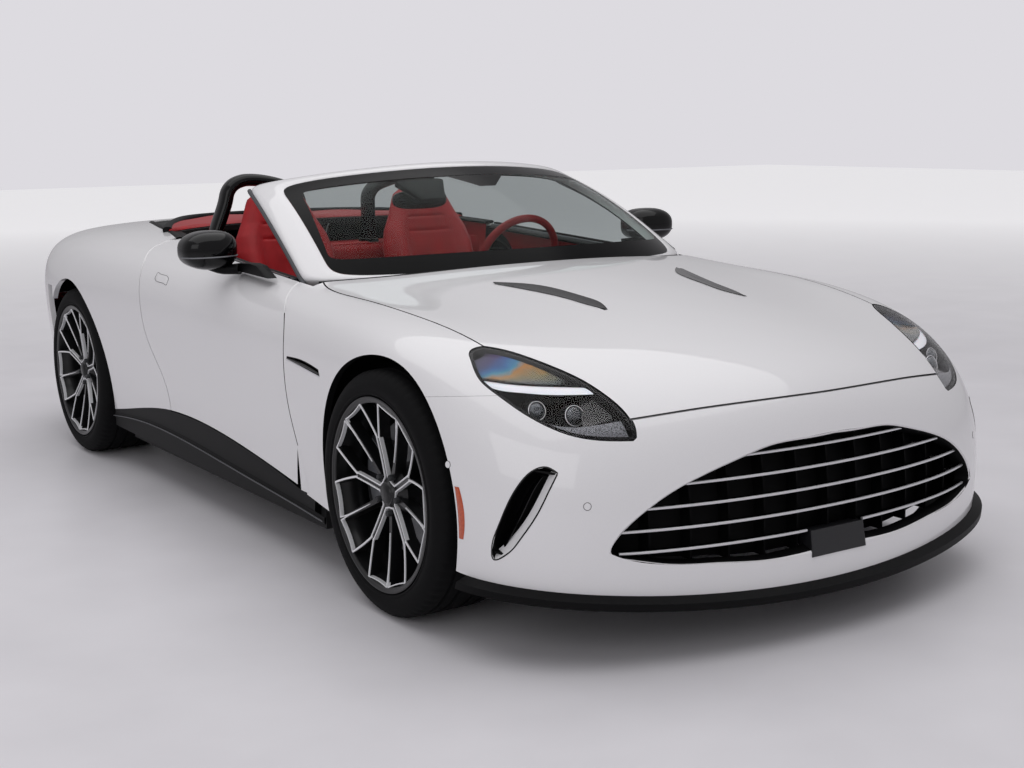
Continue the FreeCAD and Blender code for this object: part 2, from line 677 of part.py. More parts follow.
# Windscreen: one bowed surface, its border is the frame and its middle the glass
screen_shares = [
    [(0.760, 0.280, 0.708), (0.610, 0.232, 0.712), (0.320, 0.198, 0.716), (0, 0.186, 0.717)],
    [(0.740, 0.345, 0.790), (0.590, 0.285, 0.812), (0.300, 0.248, 0.822), (0, 0.236, 0.825)],
    [(0.700, 0.430, 0.890), (0.550, 0.365, 0.922), (0.280, 0.330, 0.938), (0, 0.320, 0.942)],
    [(0.640, 0.500, 0.944), (0.520, 0.455, 0.968), (0.270, 0.420, 0.992), (0, 0.410, 1.000)],
]


def screen(shallow, deep, span_shares=(0, 1, 0, 1)):
    return layer(full_net(screen_shares), shallow, deep, span_shares)


rise = size("frame_rise")
whole = screen(-rise, size("frame_thick"))
hole = screen(-rise - GAP, size("frame_thick") + GAP, (0.03, 0.93, 0.045, 0.955))
node("windscreen_frame", solids(whole.cut(hole)))
node("windscreen", screen(0, size("glass_thick"), (0.0304, 0.9296, 0.0453, 0.9547)))

# Underbody: floor, sills, tunnel, bulkheads, rails and deck carriers as one welded shell
floor_z = size("floor_z")
floor_top = floor_z + size("floor_thick")
wall_thick = size("bulkhead_thick")
wall_z = 0.66 * TALL
firewall_y = along(0.205)
rear_wall_y = along(0.775)
rail_x = size("rail_x")
rail_out_x = rail_x + size("rail_wide")
rail_z = size("rail_z")
rail_top = rail_z + size("rail_deep")


def rib(y, first, last):
    """Frame that follows the inside of the skin at one place along the car."""
    slab = box(-HALF, HALF, y, y + wall_thick, floor_top, TALL)
    return skin(SKIN + SEAT, size("rib_deep"), first, last).common(slab)


def crossbar(first, last, low, high, half_wide=0.5 * HALF):
    return box(-half_wide, half_wide, along(first), along(last), low, high)


pieces = [
    box(-size("sill_inner_x"), size("sill_inner_x"), firewall_y, rear_wall_y, floor_z, floor_top),
    crossbar(-0.50, 1.60, floor_z, floor_top),
    crossbar(0.05, 0.08, rail_z, size("engine_z") - SEAT, rail_out_x),
    crossbar(0.16, 0.19, rail_z, size("engine_z") - SEAT, rail_out_x),
    crossbar(-0.72, -0.66, rail_z, rail_top),
    crossbar(1.52, 1.60, rail_z, rail_top),
    box(-size("tunnel_wide") / 2, size("tunnel_wide") / 2, firewall_y, rear_wall_y, floor_z,
        size("tunnel_top_z")),
]
for side in (-1, 1):
    x0, x1 = sorted((side * 0.91 * HALF, side * size("sill_inner_x")))
    pieces.append(box(x0, x1, along(0.17), along(0.81), floor_z, size("sill_top_z")))
    x0, x1 = sorted((side * rail_x, side * rail_out_x))
    pieces.append(box(x0, x1, along(-0.72), firewall_y, rail_z, rail_top))
    pieces.append(box(x0, x1, rear_wall_y, along(1.60), rail_z, rail_top))
    pieces.append(box(x0, x1, along(-0.50), along(-0.44), floor_z, rail_z))
    pieces.append(box(x0, x1, along(1.54), along(1.60), floor_z, rail_z))
walls = [rib(firewall_y, 0.3, 0.6).cut(cabin_prism()), rib(rear_wall_y, 0.55, 0.85).cut(cabin_prism())]
for y in (firewall_y, rear_wall_y):
    walls.append(box(-0.86 * HALF, 0.86 * HALF, y, y + wall_thick, floor_z, wall_z))
under = pieces[0].multiFuse(pieces[1:] + walls)
shell_zone = skin(-GAP, SKIN + SEAT)
bonnet_zone = skin(-GAP, SKIN + GAP, 0.1, 0.6).common(bonnet_prism(GAP))
boot_zone = skin(-GAP, SKIN + GAP, 0.7, 1).common(boot_prism(GAP))
under = cut(under, shell_zone, bonnet_zone, boot_zone)
for side in (-1, 1):
    door_zone = skin(-GAP, size("door_depth") + GAP, 0.35, 0.75, side)
    under = under.cut(door_zone.common(door_prism(side, GAP)))
under = cut(under, *arches("well_radius", "well_inner_x"))
for x in (-0.6 * HALF, 0.6 * HALF):
    foot = V(x, firewall_y + wall_thick / 2, 0.65 * TALL)
    buffer = Part.makeCylinder(size("buffer_radius"), TALL, foot)
    outside = skin(-OVER, SKIN + SEAT, 0.3, 0.6).cut(box(-HALF, HALF, -LENGTH, LENGTH, 0, foot.z))
    under = under.fuse(buffer.cut(outside))
node("underbody", solids(under))

# Cowl between the bonnet and the windscreen
cowl_back_shares = [(p[0], p[1] + size("cowl_long") / BASE) for p in bonnet_rear_shares]
cowl_runs = [bonnet_rear_shares[::-1], [bonnet_rear_shares[0], cowl_back_shares[0]],
             cowl_back_shares]
cowl = skin(size("cowl_front"), size("cowl_back"), 0.3, 0.65)
cowl = cowl.common(plan_prism(mirrored_runs(cowl_runs), 1, -GAP - SEAM))
cowl = cut(cowl, screen(-rise - SEAT, size("frame_thick") + SEAT),
           box(-HALF, HALF, firewall_y - SEAT, firewall_y + wall_thick + SEAT, 0, wall_z + SEAT),
           box(-size("dash_wide") / 2 - SEAT, size("dash_wide") / 2 + SEAT,
               size("dash_front_y") - SEAT, size("dash_back_y"), 0, size("dash_top_z") + SEAT))
for side in (-1, 1):
    wing_zone = skin(-GAP, SKIN + SEAT, 0.3, 0.65, side).common(wing_prism(side))
    cowl = cowl.cut(wing_zone.cut(bonnet_prism(GAP)).cut(cabin_prism()))
node("cowl", solids(cowl))

# Plain parts from sketches, sizes bound to the sheet
NAMES = set(sheet.getAlias(cell) for cell in sheet.getUsedCells())


def bound(text):
    words = []
    for word in text.split(" "):
        bare = word.strip("()")
        words.append(word.replace(bare, "sizes." + bare) if bare in NAMES else word)
    return " ".join(words)


def plane(body, role):
    return [f for f in body.Origin.OriginFeatures if f.Role == role][0]


def sketch(body, role, loops):
    """Sketch of straight outlines, each corner held at named sizes from the origin."""
    made = body.newObject("Sketcher::SketchObject", "outline")
    made.AttachmentSupport = [(plane(body, role), "")]
    made.MapMode = "FlatFace"
    for corners in loops:
        count = len(corners)
        start = made.GeometryCount
        ring = []
        for k in range(count):
            turn = 2 * math.pi * k / count
            ring.append(V(HALF * (2 + math.cos(turn)), HALF * (2 + math.sin(turn)), 0))
        for k in range(count):
            made.addGeometry(Part.LineSegment(ring[k], ring[(k + 1) % count]), False)
        for k in range(count):
            made.addConstraint(Sketcher.Constraint("Coincident", start + k, 2,
                                                   start + (k + 1) % count, 1))
        for k, (across, up) in enumerate(corners):
            for kind, text in (("DistanceX", across), ("DistanceY", up)):
                index = made.addConstraint(Sketcher.Constraint(kind, -1, 1, start + k, 1, HALF))
                made.setExpression("Constraints[%d]" % index, bound(text))
    return made


def turned(label, corners, place_at, way=V(0, 0, 1)):
    """Body revolved about its own vertical axis, then laid along a direction."""
    body = doc.addObject("PartDesign::Body", label)
    made = sketch(body, "XZ_Plane", [corners])
    spin = body.newObject("PartDesign::Revolution", "turn")
    spin.Profile = made
    spin.ReferenceAxis = (made, ["V_Axis"])
    spin.Angle = 360
    body.Placement = FreeCAD.Placement(place_at, FreeCAD.Rotation(V(0, 0, 1), way))
    return body


def padded(label, role, corners, length, at=V(0, 0, 0)):
    """Body padded evenly to both sides of a plane."""
    body = doc.addObject("PartDesign::Body", label)
    made = sketch(body, role, [corners])
    pad = body.newObject("PartDesign::Pad", "thick")
    pad.Profile = made
    pad.setExpression("Length", bound(length))
    pad.Midplane = True
    body.Placement = FreeCAD.Placement(at, FreeCAD.Rotation())
    return body


# Tyres and wheels on the four hubs; each wheel carries its brake disc
wheel_turn_shares = {"FR": 0.025, "FL": 0.060, "RR": -0.013, "RL": 0.080}
WALL = "(tyre_radius - rim_radius)"
HUB = "wheel_hub_radius * 0.9"
FORK = "spoke_wide * 0.6"
TIP = "(rim_radius + rim_wall / 2)"
for y, where in ((NOSE_AXLE, "F"), (TAIL_AXLE, "R")):
    breadth = "tyre_front_wide" if where == "F" else "tyre_rear_wide"
    for side, name in ((-1, "R"), (1, "L")):
        at = V(side * size("tyre_outer_x"), y, HUB_Z)
        way = V(-side, 0, 0)
        tyre = turned("tyre_" + where + name, [
            ("rim_radius + bead_rise", "flange_deep"),
            ("rim_radius + " + WALL + " * 0.36", "wall_in"),
            ("tyre_radius - " + WALL + " * 0.16", "shoulder_in * 0.6"),
            ("tyre_radius", "tread_in"),
            ("tyre_radius", breadth + " - tread_in"),
            ("rim_radius + " + WALL + " * 0.5", breadth + " - wall_in"),
            ("rim_radius + bead_rise", breadth + " - flange_deep")], at, way)
        keep(tyre, "tyre_" + where + name)
        wheel = doc.addObject("PartDesign::Body", "wheel_" + where + name)
        barrel = [("rim_radius + bead_rise - bead_clear", "flange_deep - bead_clear"),
                  ("rim_radius + flange_rise", "flange_deep - bead_clear * 7"),
                  ("rim_radius + flange_rise", "flange_in"),
                  ("rim_radius - rim_wall / 2", "flange_in"),
                  ("rim_radius - rim_wall", "flange_in + spoke_deep"),
                  ("rim_radius - rim_wall * 1.75", breadth + " - flange_deep * 1.2"),
                  ("rim_radius + bead_rise - bead_clear", breadth + " - flange_deep")]
        deep = "tyre_outer_x - disc_x"
        hub = [("wheel_bore_radius", "wheel_hub_in"), ("wheel_hub_radius", "wheel_hub_in"),
               ("wheel_hub_radius", deep + " - disc_thick / 2"),
               ("disc_radius", deep + " - disc_thick / 2"),
               ("disc_radius", deep + " + disc_thick / 2"),
               ("wheel_hub_radius * 0.85", deep + " + disc_thick / 2"),
               ("wheel_hub_radius * 0.85", "wheel_hub_in + wheel_hub_deep"),
               ("wheel_bore_radius", "wheel_hub_in + wheel_hub_deep")]
        outline = sketch(wheel, "XZ_Plane", [barrel, hub])
        spin = wheel.newObject("PartDesign::Revolution", "barrel_and_hub")
        spin.Profile = outline
        spin.ReferenceAxis = (outline, ["V_Axis"])
        spin.Angle = 360
        fork = [("0 - " + FORK, HUB), ("0 - spoke_wide * 0.42", TIP + " * 0.60"),
                ("0 - spoke_wide * 2.48", TIP + " * 0.965"), ("0 - spoke_wide * 1.90", TIP + " * 0.985"),
                ("0", TIP + " * 0.655"),
                ("spoke_wide * 1.90", TIP + " * 0.985"), ("spoke_wide * 2.48", TIP + " * 0.965"),
                ("spoke_wide * 0.42", TIP + " * 0.60"), (FORK, HUB)]
        single = [("0 - " + FORK, HUB), ("0 - spoke_wide * 0.36", TIP + " * 0.985"),
                  ("spoke_wide * 0.36", TIP + " * 0.985"), (FORK, HUB)]
        pads = []
        for corners, turn in ((fork, 0), (single, 36)):
            spoke = sketch(wheel, "XY_Plane", [corners])
            spoke.AttachmentOffset = FreeCAD.Placement(V(0, 0, size("spoke_in")),
                                                       FreeCAD.Rotation(turn, 0, 0))
            pad = wheel.newObject("PartDesign::Pad", "spoke")
            pad.Profile = spoke
            pad.setExpression("Length", "sizes.spoke_deep")
            pads.append(pad)
        ring = wheel.newObject("PartDesign::PolarPattern", "spokes")
        ring.Originals = pads
        ring.Axis = ([f for f in wheel.Origin.OriginFeatures if f.Role == "Z_Axis"][0], [""])
        ring.Angle = 360
        ring.Occurrences = 5
        wheel.Tip = ring
        lay = FreeCAD.Rotation(V(0, 0, 1), way)
        lay = lay.multiply(FreeCAD.Rotation(V(0, 0, 1), 360 * wheel_turn_shares[where + name]))
        wheel.Placement = FreeCAD.Placement(at, lay)
        keep(wheel, "wheel_" + where + name)


# Knuckles, arms and calipers
def caliper(side, y, back):
    """Block that straddles the brake disc over a part of its rim."""
    disc = size("disc_radius")
    near = size("disc_x") - size("caliper_wide") / 2
    far = size("disc_x") + size("caliper_wide") / 2
    start = V(side * near, y, HUB_Z)
    ring = Part.makeCylinder(disc * 1.12, far - near, start, V(side, 0, 0))
    ring = ring.cut(Part.makeCylinder(disc * 0.62, far - near, start, V(side, 0, 0)))
    x0, x1 = sorted((side * near, side * far))
    y0, y1 = sorted((y + back * disc * 0.3, y + back * disc * 1.15))
    ring = ring.common(box(x0, x1, y0, y1, HUB_Z - disc * 0.4, HUB_Z + disc * 0.64))
    thick = size("disc_thick") + 2 * GAP
    slot = V(side * (size("disc_x") - thick / 2), y, HUB_Z)
    return ring.cut(Part.makeCylinder(disc + GAP, thick, slot, V(side, 0, 0)))


def upright(side, y, back):
    """Carrier of one wheel: post, spindle and caliper bracket."""
    x = side * size("kingpin_x")
    half = size("knuckle_wide") / 2
    low = size("arm_low_z") + size("arm_thick") / 2 + GAP
    high = size("arm_high_z") - size("arm_thick") / 2 - GAP
    post = box(x - half, x + half, y - half, y + half, low, high)
    reach = size("tyre_outer_x") - size("spindle_in") - size("kingpin_x")
    spindle = Part.makeCylinder(size("spindle_radius"), reach, V(x, y, HUB_Z), V(side, 0, 0))
    x0, x1 = sorted((x, side * (size("disc_x") - size("disc_thick") / 2 - 2 * GAP)))
    y0, y1 = sorted((y, y + back * size("disc_radius") * 0.74))
    bracket = box(x0, x1, y0, y1, HUB_Z - half, HUB_Z + half)
    return post.multiFuse([spindle, bracket, caliper(side, y, back)])


def arms(side, y):
    """Lower and upper wishbone, and the subframe tower that carries them."""
    made = []
    half = size("arm_thick") / 2
    spread = size("arm_spread")
    eye = size("arm_eye_wide")
    root = side * (rail_x - size("tower_wide"))
    end = side * (size("kingpin_x") + eye)
    for z in (size("arm_low_z"), size("arm_high_z")):
        flat = [V(root, y - spread, z - half), V(end, y - eye, z - half),
                V(end, y + eye, z - half), V(root, y + spread, z - half)]
        made.append(Part.Face(Part.makePolygon(flat + flat[:1])).extrude(V(0, 0, 2 * half)))
    x0, x1 = sorted((root, side * (rail_x - SEAT)))
    made.append(box(x0, x1, y - spread, y + spread, size("arm_low_z") - half,
                    size("arm_high_z") + half))
    return made


def kingpin(side, y, clear=0):
    """Upright pin through both arms, or the hole for it."""
    out = size("kingpin_out") * (2 if clear else 1)
    low = size("arm_low_z") - out
    return Part.makeCylinder(size("kingpin_radius") + clear, size("arm_high_z") + out - low,
                             V(side * size("kingpin_x"), y, low))


def beam(y, tall):
    half = rail_x - size("tower_wide") / 2
    low = size("arm_low_z") - size("arm_thick") / 2
    return box(-half, half, y - size("beam_wide") / 2, y + size("beam_wide") / 2, low, low + tall)


front = [beam(NOSE_AXLE, size("beam_front_tall"))]
rear_parts = [beam(TAIL_AXLE, size("beam_rear_tall"))]
for side, name in ((-1, "R"), (1, "L")):
    node("knuckle_" + name, upright(side, NOSE_AXLE, 1).fuse(kingpin(side, NOSE_AXLE)))
    eye = kingpin(side, NOSE_AXLE, size("pin_clear"))
    front += [piece.cut(eye) for piece in arms(side, NOSE_AXLE)]
    rear_parts += arms(side, TAIL_AXLE) + [upright(side, TAIL_AXLE, -1), kingpin(side, TAIL_AXLE)]
node("front_axle", front[0].multiFuse(front[1:]))
node("rear_axle", rear_parts[0].multiFuse(rear_parts[1:]))

# Engine as one plain block on its crossmembers
engine = doc.addObject("Part::Box", "engine")
engine.setExpression("Length", "sizes.engine_wide")
engine.setExpression("Width", "sizes.engine_long")
engine.setExpression("Height", "sizes.engine_tall")
engine.Placement = FreeCAD.Placement(
    V(-size("engine_wide") / 2, size("engine_y"), size("engine_z")), FreeCAD.Rotation())
keep(engine, "engine")

# Steering wheel with its column, square to a tilted axis
steer = []
rim_corners = []
for k in range(8):
    angle = math.pi * (k + 0.5) / 4
    rim_corners.append(("steer_radius + steer_rim_radius * %.4f" % math.cos(angle),
                        "steer_rim_radius * %.4f" % math.sin(angle)))
steer.append(turned("steer_rim", rim_corners, V(0, 0, 0)))
hub = doc.addObject("Part::Cylinder", "steer_hub")
hub.setExpression("Radius", "sizes.steer_hub_radius")
hub.setExpression("Height", "sizes.steer_hub_deep")
hub.Placement = FreeCAD.Placement(V(0, 0, -size("steer_hub_deep") * 0.8), FreeCAD.Rotation())
steer.append(hub)
column = doc.addObject("Part::Cylinder", "steer_column")
column.setExpression("Radius", "sizes.column_radius")
column.setExpression("Height", "sizes.column_long")
column.Placement = FreeCAD.Placement(V(0, 0, -size("column_long")), FreeCAD.Rotation())
steer.append(column)
for turn in (0, 180, 270):
    spoke = doc.addObject("Part::Box", "steer_spoke")
    spoke.setExpression("Length", "sizes.steer_radius")
    spoke.setExpression("Width", "sizes.steer_rim_radius * 2.4")
    spoke.setExpression("Height", "sizes.steer_rim_radius")
    swing = FreeCAD.Rotation(V(0, 0, 1), turn)
    shift = swing.multVec(V(0, -size("steer_rim_radius") * 1.2, -size("steer_rim_radius") / 2))
    spoke.Placement = FreeCAD.Placement(shift, swing)
    steer.append(spoke)
whole_wheel = doc.addObject("Part::MultiFuse", "steering_wheel")
whole_wheel.Shapes = steer
tilt = math.radians(size("steer_tilt"))
whole_wheel.Placement = FreeCAD.Placement(
    V(size("steer_x"), size("steer_y"), size("steer_z")),
    FreeCAD.Rotation(V(0, 0, 1), V(0, math.cos(tilt), math.sin(tilt))))
keep(whole_wheel, "steering_wheel")

# Seats with a waisted back and a head rest in one piece, as plain cushions on the floor
seat_side_shares = [(0.03, 0), (0, 0.39), (0.05, 0.42), (0.55, 0.335), (0.69, 0.505), (0.85, 0.905),
                    (0.89, 1), (1, 0.99), (0.985, 0.89), (0.85, 0.36), (0.75, 0)]
seat_front_shares = [(0.46, 0), (0.50, 0.20), (0.50, 0.72), (0.42, 0.80), (0.28, 0.90), (0.22, 1)]
seat_low = floor_top + SEAT
seat_deep = size("seat_back_y") - size("seat_front_y")
seat_tall = size("seat_top_z") - seat_low
for side, name in ((-1, "R"), (1, "L")):
    mid_x = side * size("seat_x")
    flat = [V(-HALF, size("seat_front_y") + p[0] * seat_deep, seat_low + p[1] * seat_tall)
            for p in seat_side_shares]
    profile = Part.Face(Part.makePolygon(flat + flat[:1])).extrude(V(2 * HALF, 0, 0))
    half = [V(p[0] * size("seat_wide"), -LENGTH, seat_low + p[1] * seat_tall)
            for p in seat_front_shares]
    flat = [V(mid_x + p.x, p.y, p.z) for p in half] + [V(mid_x - p.x, p.y, p.z) for p in half[::-1]]
    front_face = Part.Face(Part.makePolygon(flat + flat[:1])).extrude(V(0, 2 * LENGTH, 0))
    node("seat_" + name, profile.common(front_face))

# Dashboard, console and rear trim of the cabin
DASH = "(dash_top_z - dash_low_z)"
DEEP = "(dash_back_y - dash_front_y)"
dash = doc.addObject("PartDesign::Body", "dash_block")
dash_corners = [("dash_front_y", "dash_low_z"),
                ("dash_back_y - " + DEEP + " * 0.11", "dash_low_z + " + DASH + " * 0.08"),
                ("dash_back_y", "dash_low_z + " + DASH + " * 0.64"),
                ("dash_back_y - " + DEEP + " * 0.06", "dash_low_z + " + DASH + " * 0.93"),
                ("dash_back_y - " + DEEP + " * 0.36", "dash_top_z"),
                ("dash_front_y", "dash_top_z")]
made = sketch(dash, "YZ_Plane", [dash_corners])
pad = dash.newObject("PartDesign::Pad", "thick")
pad.Profile = made
pad.setExpression("Length", "sizes.dash_wide")
pad.Midplane = True
tube = doc.addObject("Part::Cylinder", "column_hole")
tube.setExpression("Radius", "sizes.column_radius + sizes.pin_clear")
tube.setExpression("Height", "sizes.column_long * 1.2")
tube.Placement = FreeCAD.Placement(whole_wheel.Placement.Base, whole_wheel.Placement.Rotation.multiply(
    FreeCAD.Rotation(V(1, 0, 0), 180)))
dash_cut = doc.addObject("Part::Cut", "dashboard")
dash_cut.Base = dash
dash_cut.Tool = tube
keep(dash_cut, "dashboard")
TALL_SHARE = "(console_top_z - tunnel_top_z)"
LONG_SHARE = "(console_back_y - dash_back_y)"
console = padded("console", "YZ_Plane", [
    ("dash_back_y - " + DEEP + " * 0.17", "tunnel_top_z + seat_gap"),
    ("dash_back_y - " + DEEP + " * 0.12", "console_top_z - " + TALL_SHARE + " * 0.13"),
    ("dash_back_y + " + LONG_SHARE + " * 0.04", "console_top_z - " + TALL_SHARE + " * 0.06"),
    ("dash_back_y + " + LONG_SHARE + " * 0.48", "console_top_z - " + TALL_SHARE + " * 0.19"),
    ("dash_back_y + " + LONG_SHARE + " * 0.75", "console_top_z"),
    ("dash_back_y + " + LONG_SHARE + " * 0.96", "console_top_z"),
    ("console_back_y", "tunnel_top_z + seat_gap")], "tunnel_wide")
keep(console, "console")
shelf_z = wall_z + SEAT
shelf_top = shelf_z + size("shelf_tall")
shelf_end = rear_wall_y + size("shelf_deep")
trim_y = rear_wall_y - SEAT - size("trim_thick")
trim_wide = 0.70 * HALF
trim = box(-trim_wide, trim_wide, trim_y, rear_wall_y - SEAT, size("trim_low_z"), shelf_top)
shelf = box(-trim_wide, trim_wide, trim_y, shelf_end, shelf_z, shelf_top)
node("rear_trim", trim.fuse(shelf))

# Roll hoops behind the seats, flat in section
hoops = []
hoop_y = rear_wall_y + wall_thick
for side in (-1, 1):
    x0 = side * 0.165 * HALF
    x1 = side * 0.560 * HALF
    top = size("hoop_top_z")
    low = shelf_top + SEAT
    bend = size("hoop_bend")
    path = [V(x0, hoop_y, low), V(x0, hoop_y, top - bend), V(x0 + side * bend, hoop_y, top),
            V(x1 - side * bend, hoop_y, top), V(x1, hoop_y, top - bend), V(x1, hoop_y, low)]
    lean = bend * (1 - math.sqrt(0.5))
    first = Part.Arc(path[1], V(x0 + side * lean, hoop_y, top - lean), path[2])
    second = Part.Arc(path[3], V(x1 - side * lean, hoop_y, top - lean), path[4])
    wire = Part.Wire([Part.LineSegment(path[0], path[1]).toShape(), first.toShape(),
                      Part.LineSegment(path[2], path[3]).toShape(), second.toShape(),
                      Part.LineSegment(path[4], path[5]).toShape()])
    oval = []
    for k in range(8):
        angle = math.pi * (k + 0.5) / 4
        oval.append(path[0] + V(size("hoop_thick") * math.cos(angle),
                                size("hoop_deep") * math.sin(angle), 0))
    hoops.append(wire.makePipeShell([Part.makePolygon(oval + oval[:1])], True, True))
node("roll_hoops", Part.makeCompound(hoops))

# Folded roof lying in the deck behind the cabin
roof = skin(rise, rise + SKIN, 0.5, 0.95).common(cabin_prism(-SEAM))
roof = roof.common(box(-HALF, HALF, shelf_end + SEAM, along(1.5), 0, TALL))
node("folded_roof", solids(roof))

# Door mirrors: a rounded shell, flat towards the driver, on an arm that grows from the door's top
head_shares = [(-0.72, 0.70), (-0.50, 0.87), (-0.25, 0.97), (0, 1), (0.30, 0.95)]
arm_shares = [(-1.00, -1.10), (0.04, -1.10), (0.10, -0.25), (-0.25, -0.25)]
for side, name in ((-1, "R"), (1, "L")):
    centre = V(side * size("mirror_x"), size("mirror_y"), size("mirror_z"))
    rings = []
    for y_share, wide_share in head_shares:
        middle = centre + V(0, y_share * size("mirror_deep"), 0)
        wide = middle + V(wide_share * size("mirror_wide") / 2, 0, 0)
        tall = middle + V(0, 0, wide_share * size("mirror_tall") / 2)
        rings.append(Part.Wire([Part.Ellipse(wide, tall, middle).toShape()]))
    head = Part.makeLoft(rings, True)
    root_x = side * (size("mirror_x") - size("mirror_wide") * 0.54)
    flat = [V(root_x, centre.y + p[0] * size("mirror_deep"), centre.z + p[1] * size("mirror_tall"))
            for p in arm_shares]
    arm = Part.Face(Part.makePolygon(flat + flat[:1])).extrude(V(side * size("mirror_arm_thick"), 0, 0))
    bar = box(*sorted((root_x, side * size("mirror_x"))), centre.y - size("mirror_deep") * 0.2,
              centre.y + size("mirror_deep") * 0.05, centre.z - size("mirror_tall") * 0.62,
              centre.z - size("mirror_tall") * 0.25)
    whole = head.multiFuse([arm, bar]).cut(skin(-SEAT, size("cowl_back"), 0.35, 0.6, side))
    node("mirror_" + name, solids(whole))

# Splitter that follows the bumper's lower edge and stands out to the car's foremost point
edge = cubic(BODY_NET)
reach = LENGTH / 2 + edge.value(0, 0.5).y
stations = 24
sections = []
for k in range(stations + 1):
    v = 0.03 + 0.94 * k / stations
    foot = edge.value(0, v)
    way = edge.value(0, v + 0.01) - edge.value(0, v - 0.01)
    out = V(way.y, -way.x, 0)
    out.normalize()
    drop = V(0, 0, size("splitter_thick"))
    lift = V(0, 0, SEAM)
    root = foot - out * size("splitter_root")
    ring = [foot + out * rise - lift, foot + out * reach - drop * 0.4,
            foot + out * reach * 0.95 - drop, root - drop, root - lift]
    sections.append(Part.makePolygon(ring + ring[:1]))
splitter = cut(Part.makeLoft(sections, True, False), *arches("well_radius", "well_inner_x"))
node("splitter", solids(splitter))

# Diffuser under the tail with four exhaust tips
tail = along(2)
start_y = along(1.60) + SEAT
keel_shares = [(1.660, 0.100), (1.985, 0.125), (1.985, 0.175), (1.660, 0.140)]
flat = [V(0, start_y, 0.118 * TALL), V(0, tail, 0.176 * TALL), V(0, tail, 0.205 * TALL),
        V(0, start_y, 0.147 * TALL)]
plate = Part.Face(Part.makePolygon(flat + flat[:1]))
plate.translate(V(-0.62 * HALF, 0, 0))
diffuser = plate.extrude(V(1.24 * HALF, 0, 0))
for k in (-2, -1, 0, 1, 2):
    keel = [V(k * 0.22 * HALF, along(p[0]), p[1] * TALL) for p in keel_shares]
    fin = Part.Face(Part.makePolygon(keel + keel[:1])).extrude(V(size("keel_thick"), 0, 0))
    diffuser = diffuser.fuse(fin)
tips = []
for share in (-0.52, -0.40, 0.40, 0.52):
    start = V(share * HALF, tail - size("tip_long") - GAP, 0.186 * TALL)
    outer = Part.makeCylinder(size("tip_radius"), size("tip_long"), start, V(0, 1, 0))
    bore = Part.makeCylinder(size("tip_radius") - size("tip_wall"), size("tip_long"),
                             start + V(0, size("tip_floor"), 0), V(0, 1, 0))
    tips.append(outer.cut(bore))
    hole = Part.makeCylinder(size("tip_radius") + SEAT, OVER, start - V(0, size("tip_floor"), 0),
                             V(0, 1, 0))
    diffuser = diffuser.cut(hole)
node("diffuser", solids(diffuser))
node("exhaust_tips", Part.makeCompound(tips))

doc.recompute()
for thing in doc.Objects:
    if "Invalid" in thing.State or "Error" in thing.State:
        raise RuntimeError("not built: " + thing.Label + str(thing.State))
for thing in NODES:
    shape = thing.Shape
    if shape.isNull() or not shape.isValid():
        raise RuntimeError("bad shape: " + thing.Label)
    shape.exportStep(os.path.join("parts", thing.Label + ".step"))
    b = shape.BoundBox
    print(thing.Label, len(shape.Solids), round(shape.Volume / 1e6, 2),
          [round(v) for v in (b.XMin, b.XMax, b.YMin, b.YMax, b.ZMin, b.ZMax)])
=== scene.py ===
import bmesh
import bpy
import json
import math
import numpy as np
from mathutils import Matrix, Vector

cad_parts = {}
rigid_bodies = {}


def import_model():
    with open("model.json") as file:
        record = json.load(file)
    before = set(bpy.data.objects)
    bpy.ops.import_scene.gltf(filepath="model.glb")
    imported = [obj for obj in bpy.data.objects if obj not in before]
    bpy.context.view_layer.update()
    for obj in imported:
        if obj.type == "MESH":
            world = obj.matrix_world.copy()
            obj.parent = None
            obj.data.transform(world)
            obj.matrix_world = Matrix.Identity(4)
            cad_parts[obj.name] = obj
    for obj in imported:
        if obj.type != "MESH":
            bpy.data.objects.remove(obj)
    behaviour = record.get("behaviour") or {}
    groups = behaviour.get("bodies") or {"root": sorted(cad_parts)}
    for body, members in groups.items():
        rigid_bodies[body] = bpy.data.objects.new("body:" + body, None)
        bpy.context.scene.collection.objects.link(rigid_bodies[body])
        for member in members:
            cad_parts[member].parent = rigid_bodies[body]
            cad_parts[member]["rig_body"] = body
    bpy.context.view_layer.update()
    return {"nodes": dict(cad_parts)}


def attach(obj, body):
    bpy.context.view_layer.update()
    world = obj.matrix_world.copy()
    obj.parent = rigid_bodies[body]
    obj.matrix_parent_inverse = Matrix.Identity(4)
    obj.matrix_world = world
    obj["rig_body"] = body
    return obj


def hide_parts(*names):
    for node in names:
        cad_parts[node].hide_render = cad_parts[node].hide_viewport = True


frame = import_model()
NODES = frame["nodes"]

# Body panels: pressed aluminium and moulded composite skins under white gloss paint, cut out of
# one smooth shape. Each is a copy of the cut panel whose outer and inner faces take the exact
# normals of that shape, a cubic surface over a net of points from nose to tail.
LENGTH, HALF, TALL, BASE, FRONT = 4.495, 0.990, 1.250, 2.705, 0.872
REAR = LENGTH - BASE - FRONT
NOSE_AXLE = FRONT - LENGTH / 2
TAIL_AXLE = NOSE_AXLE + BASE
HUB_Z = 0.355


def along(share):
    """Place along the car: front overhang below 0, wheelbase from 0 to 1, rear overhang above."""
    share = np.asarray(share, float)
    front = NOSE_AXLE + share * FRONT
    middle = NOSE_AXLE + share * BASE
    rear = TAIL_AXLE + (share - 1) * REAR
    return np.where(share < 0, front, np.where(share < 1, middle, rear))


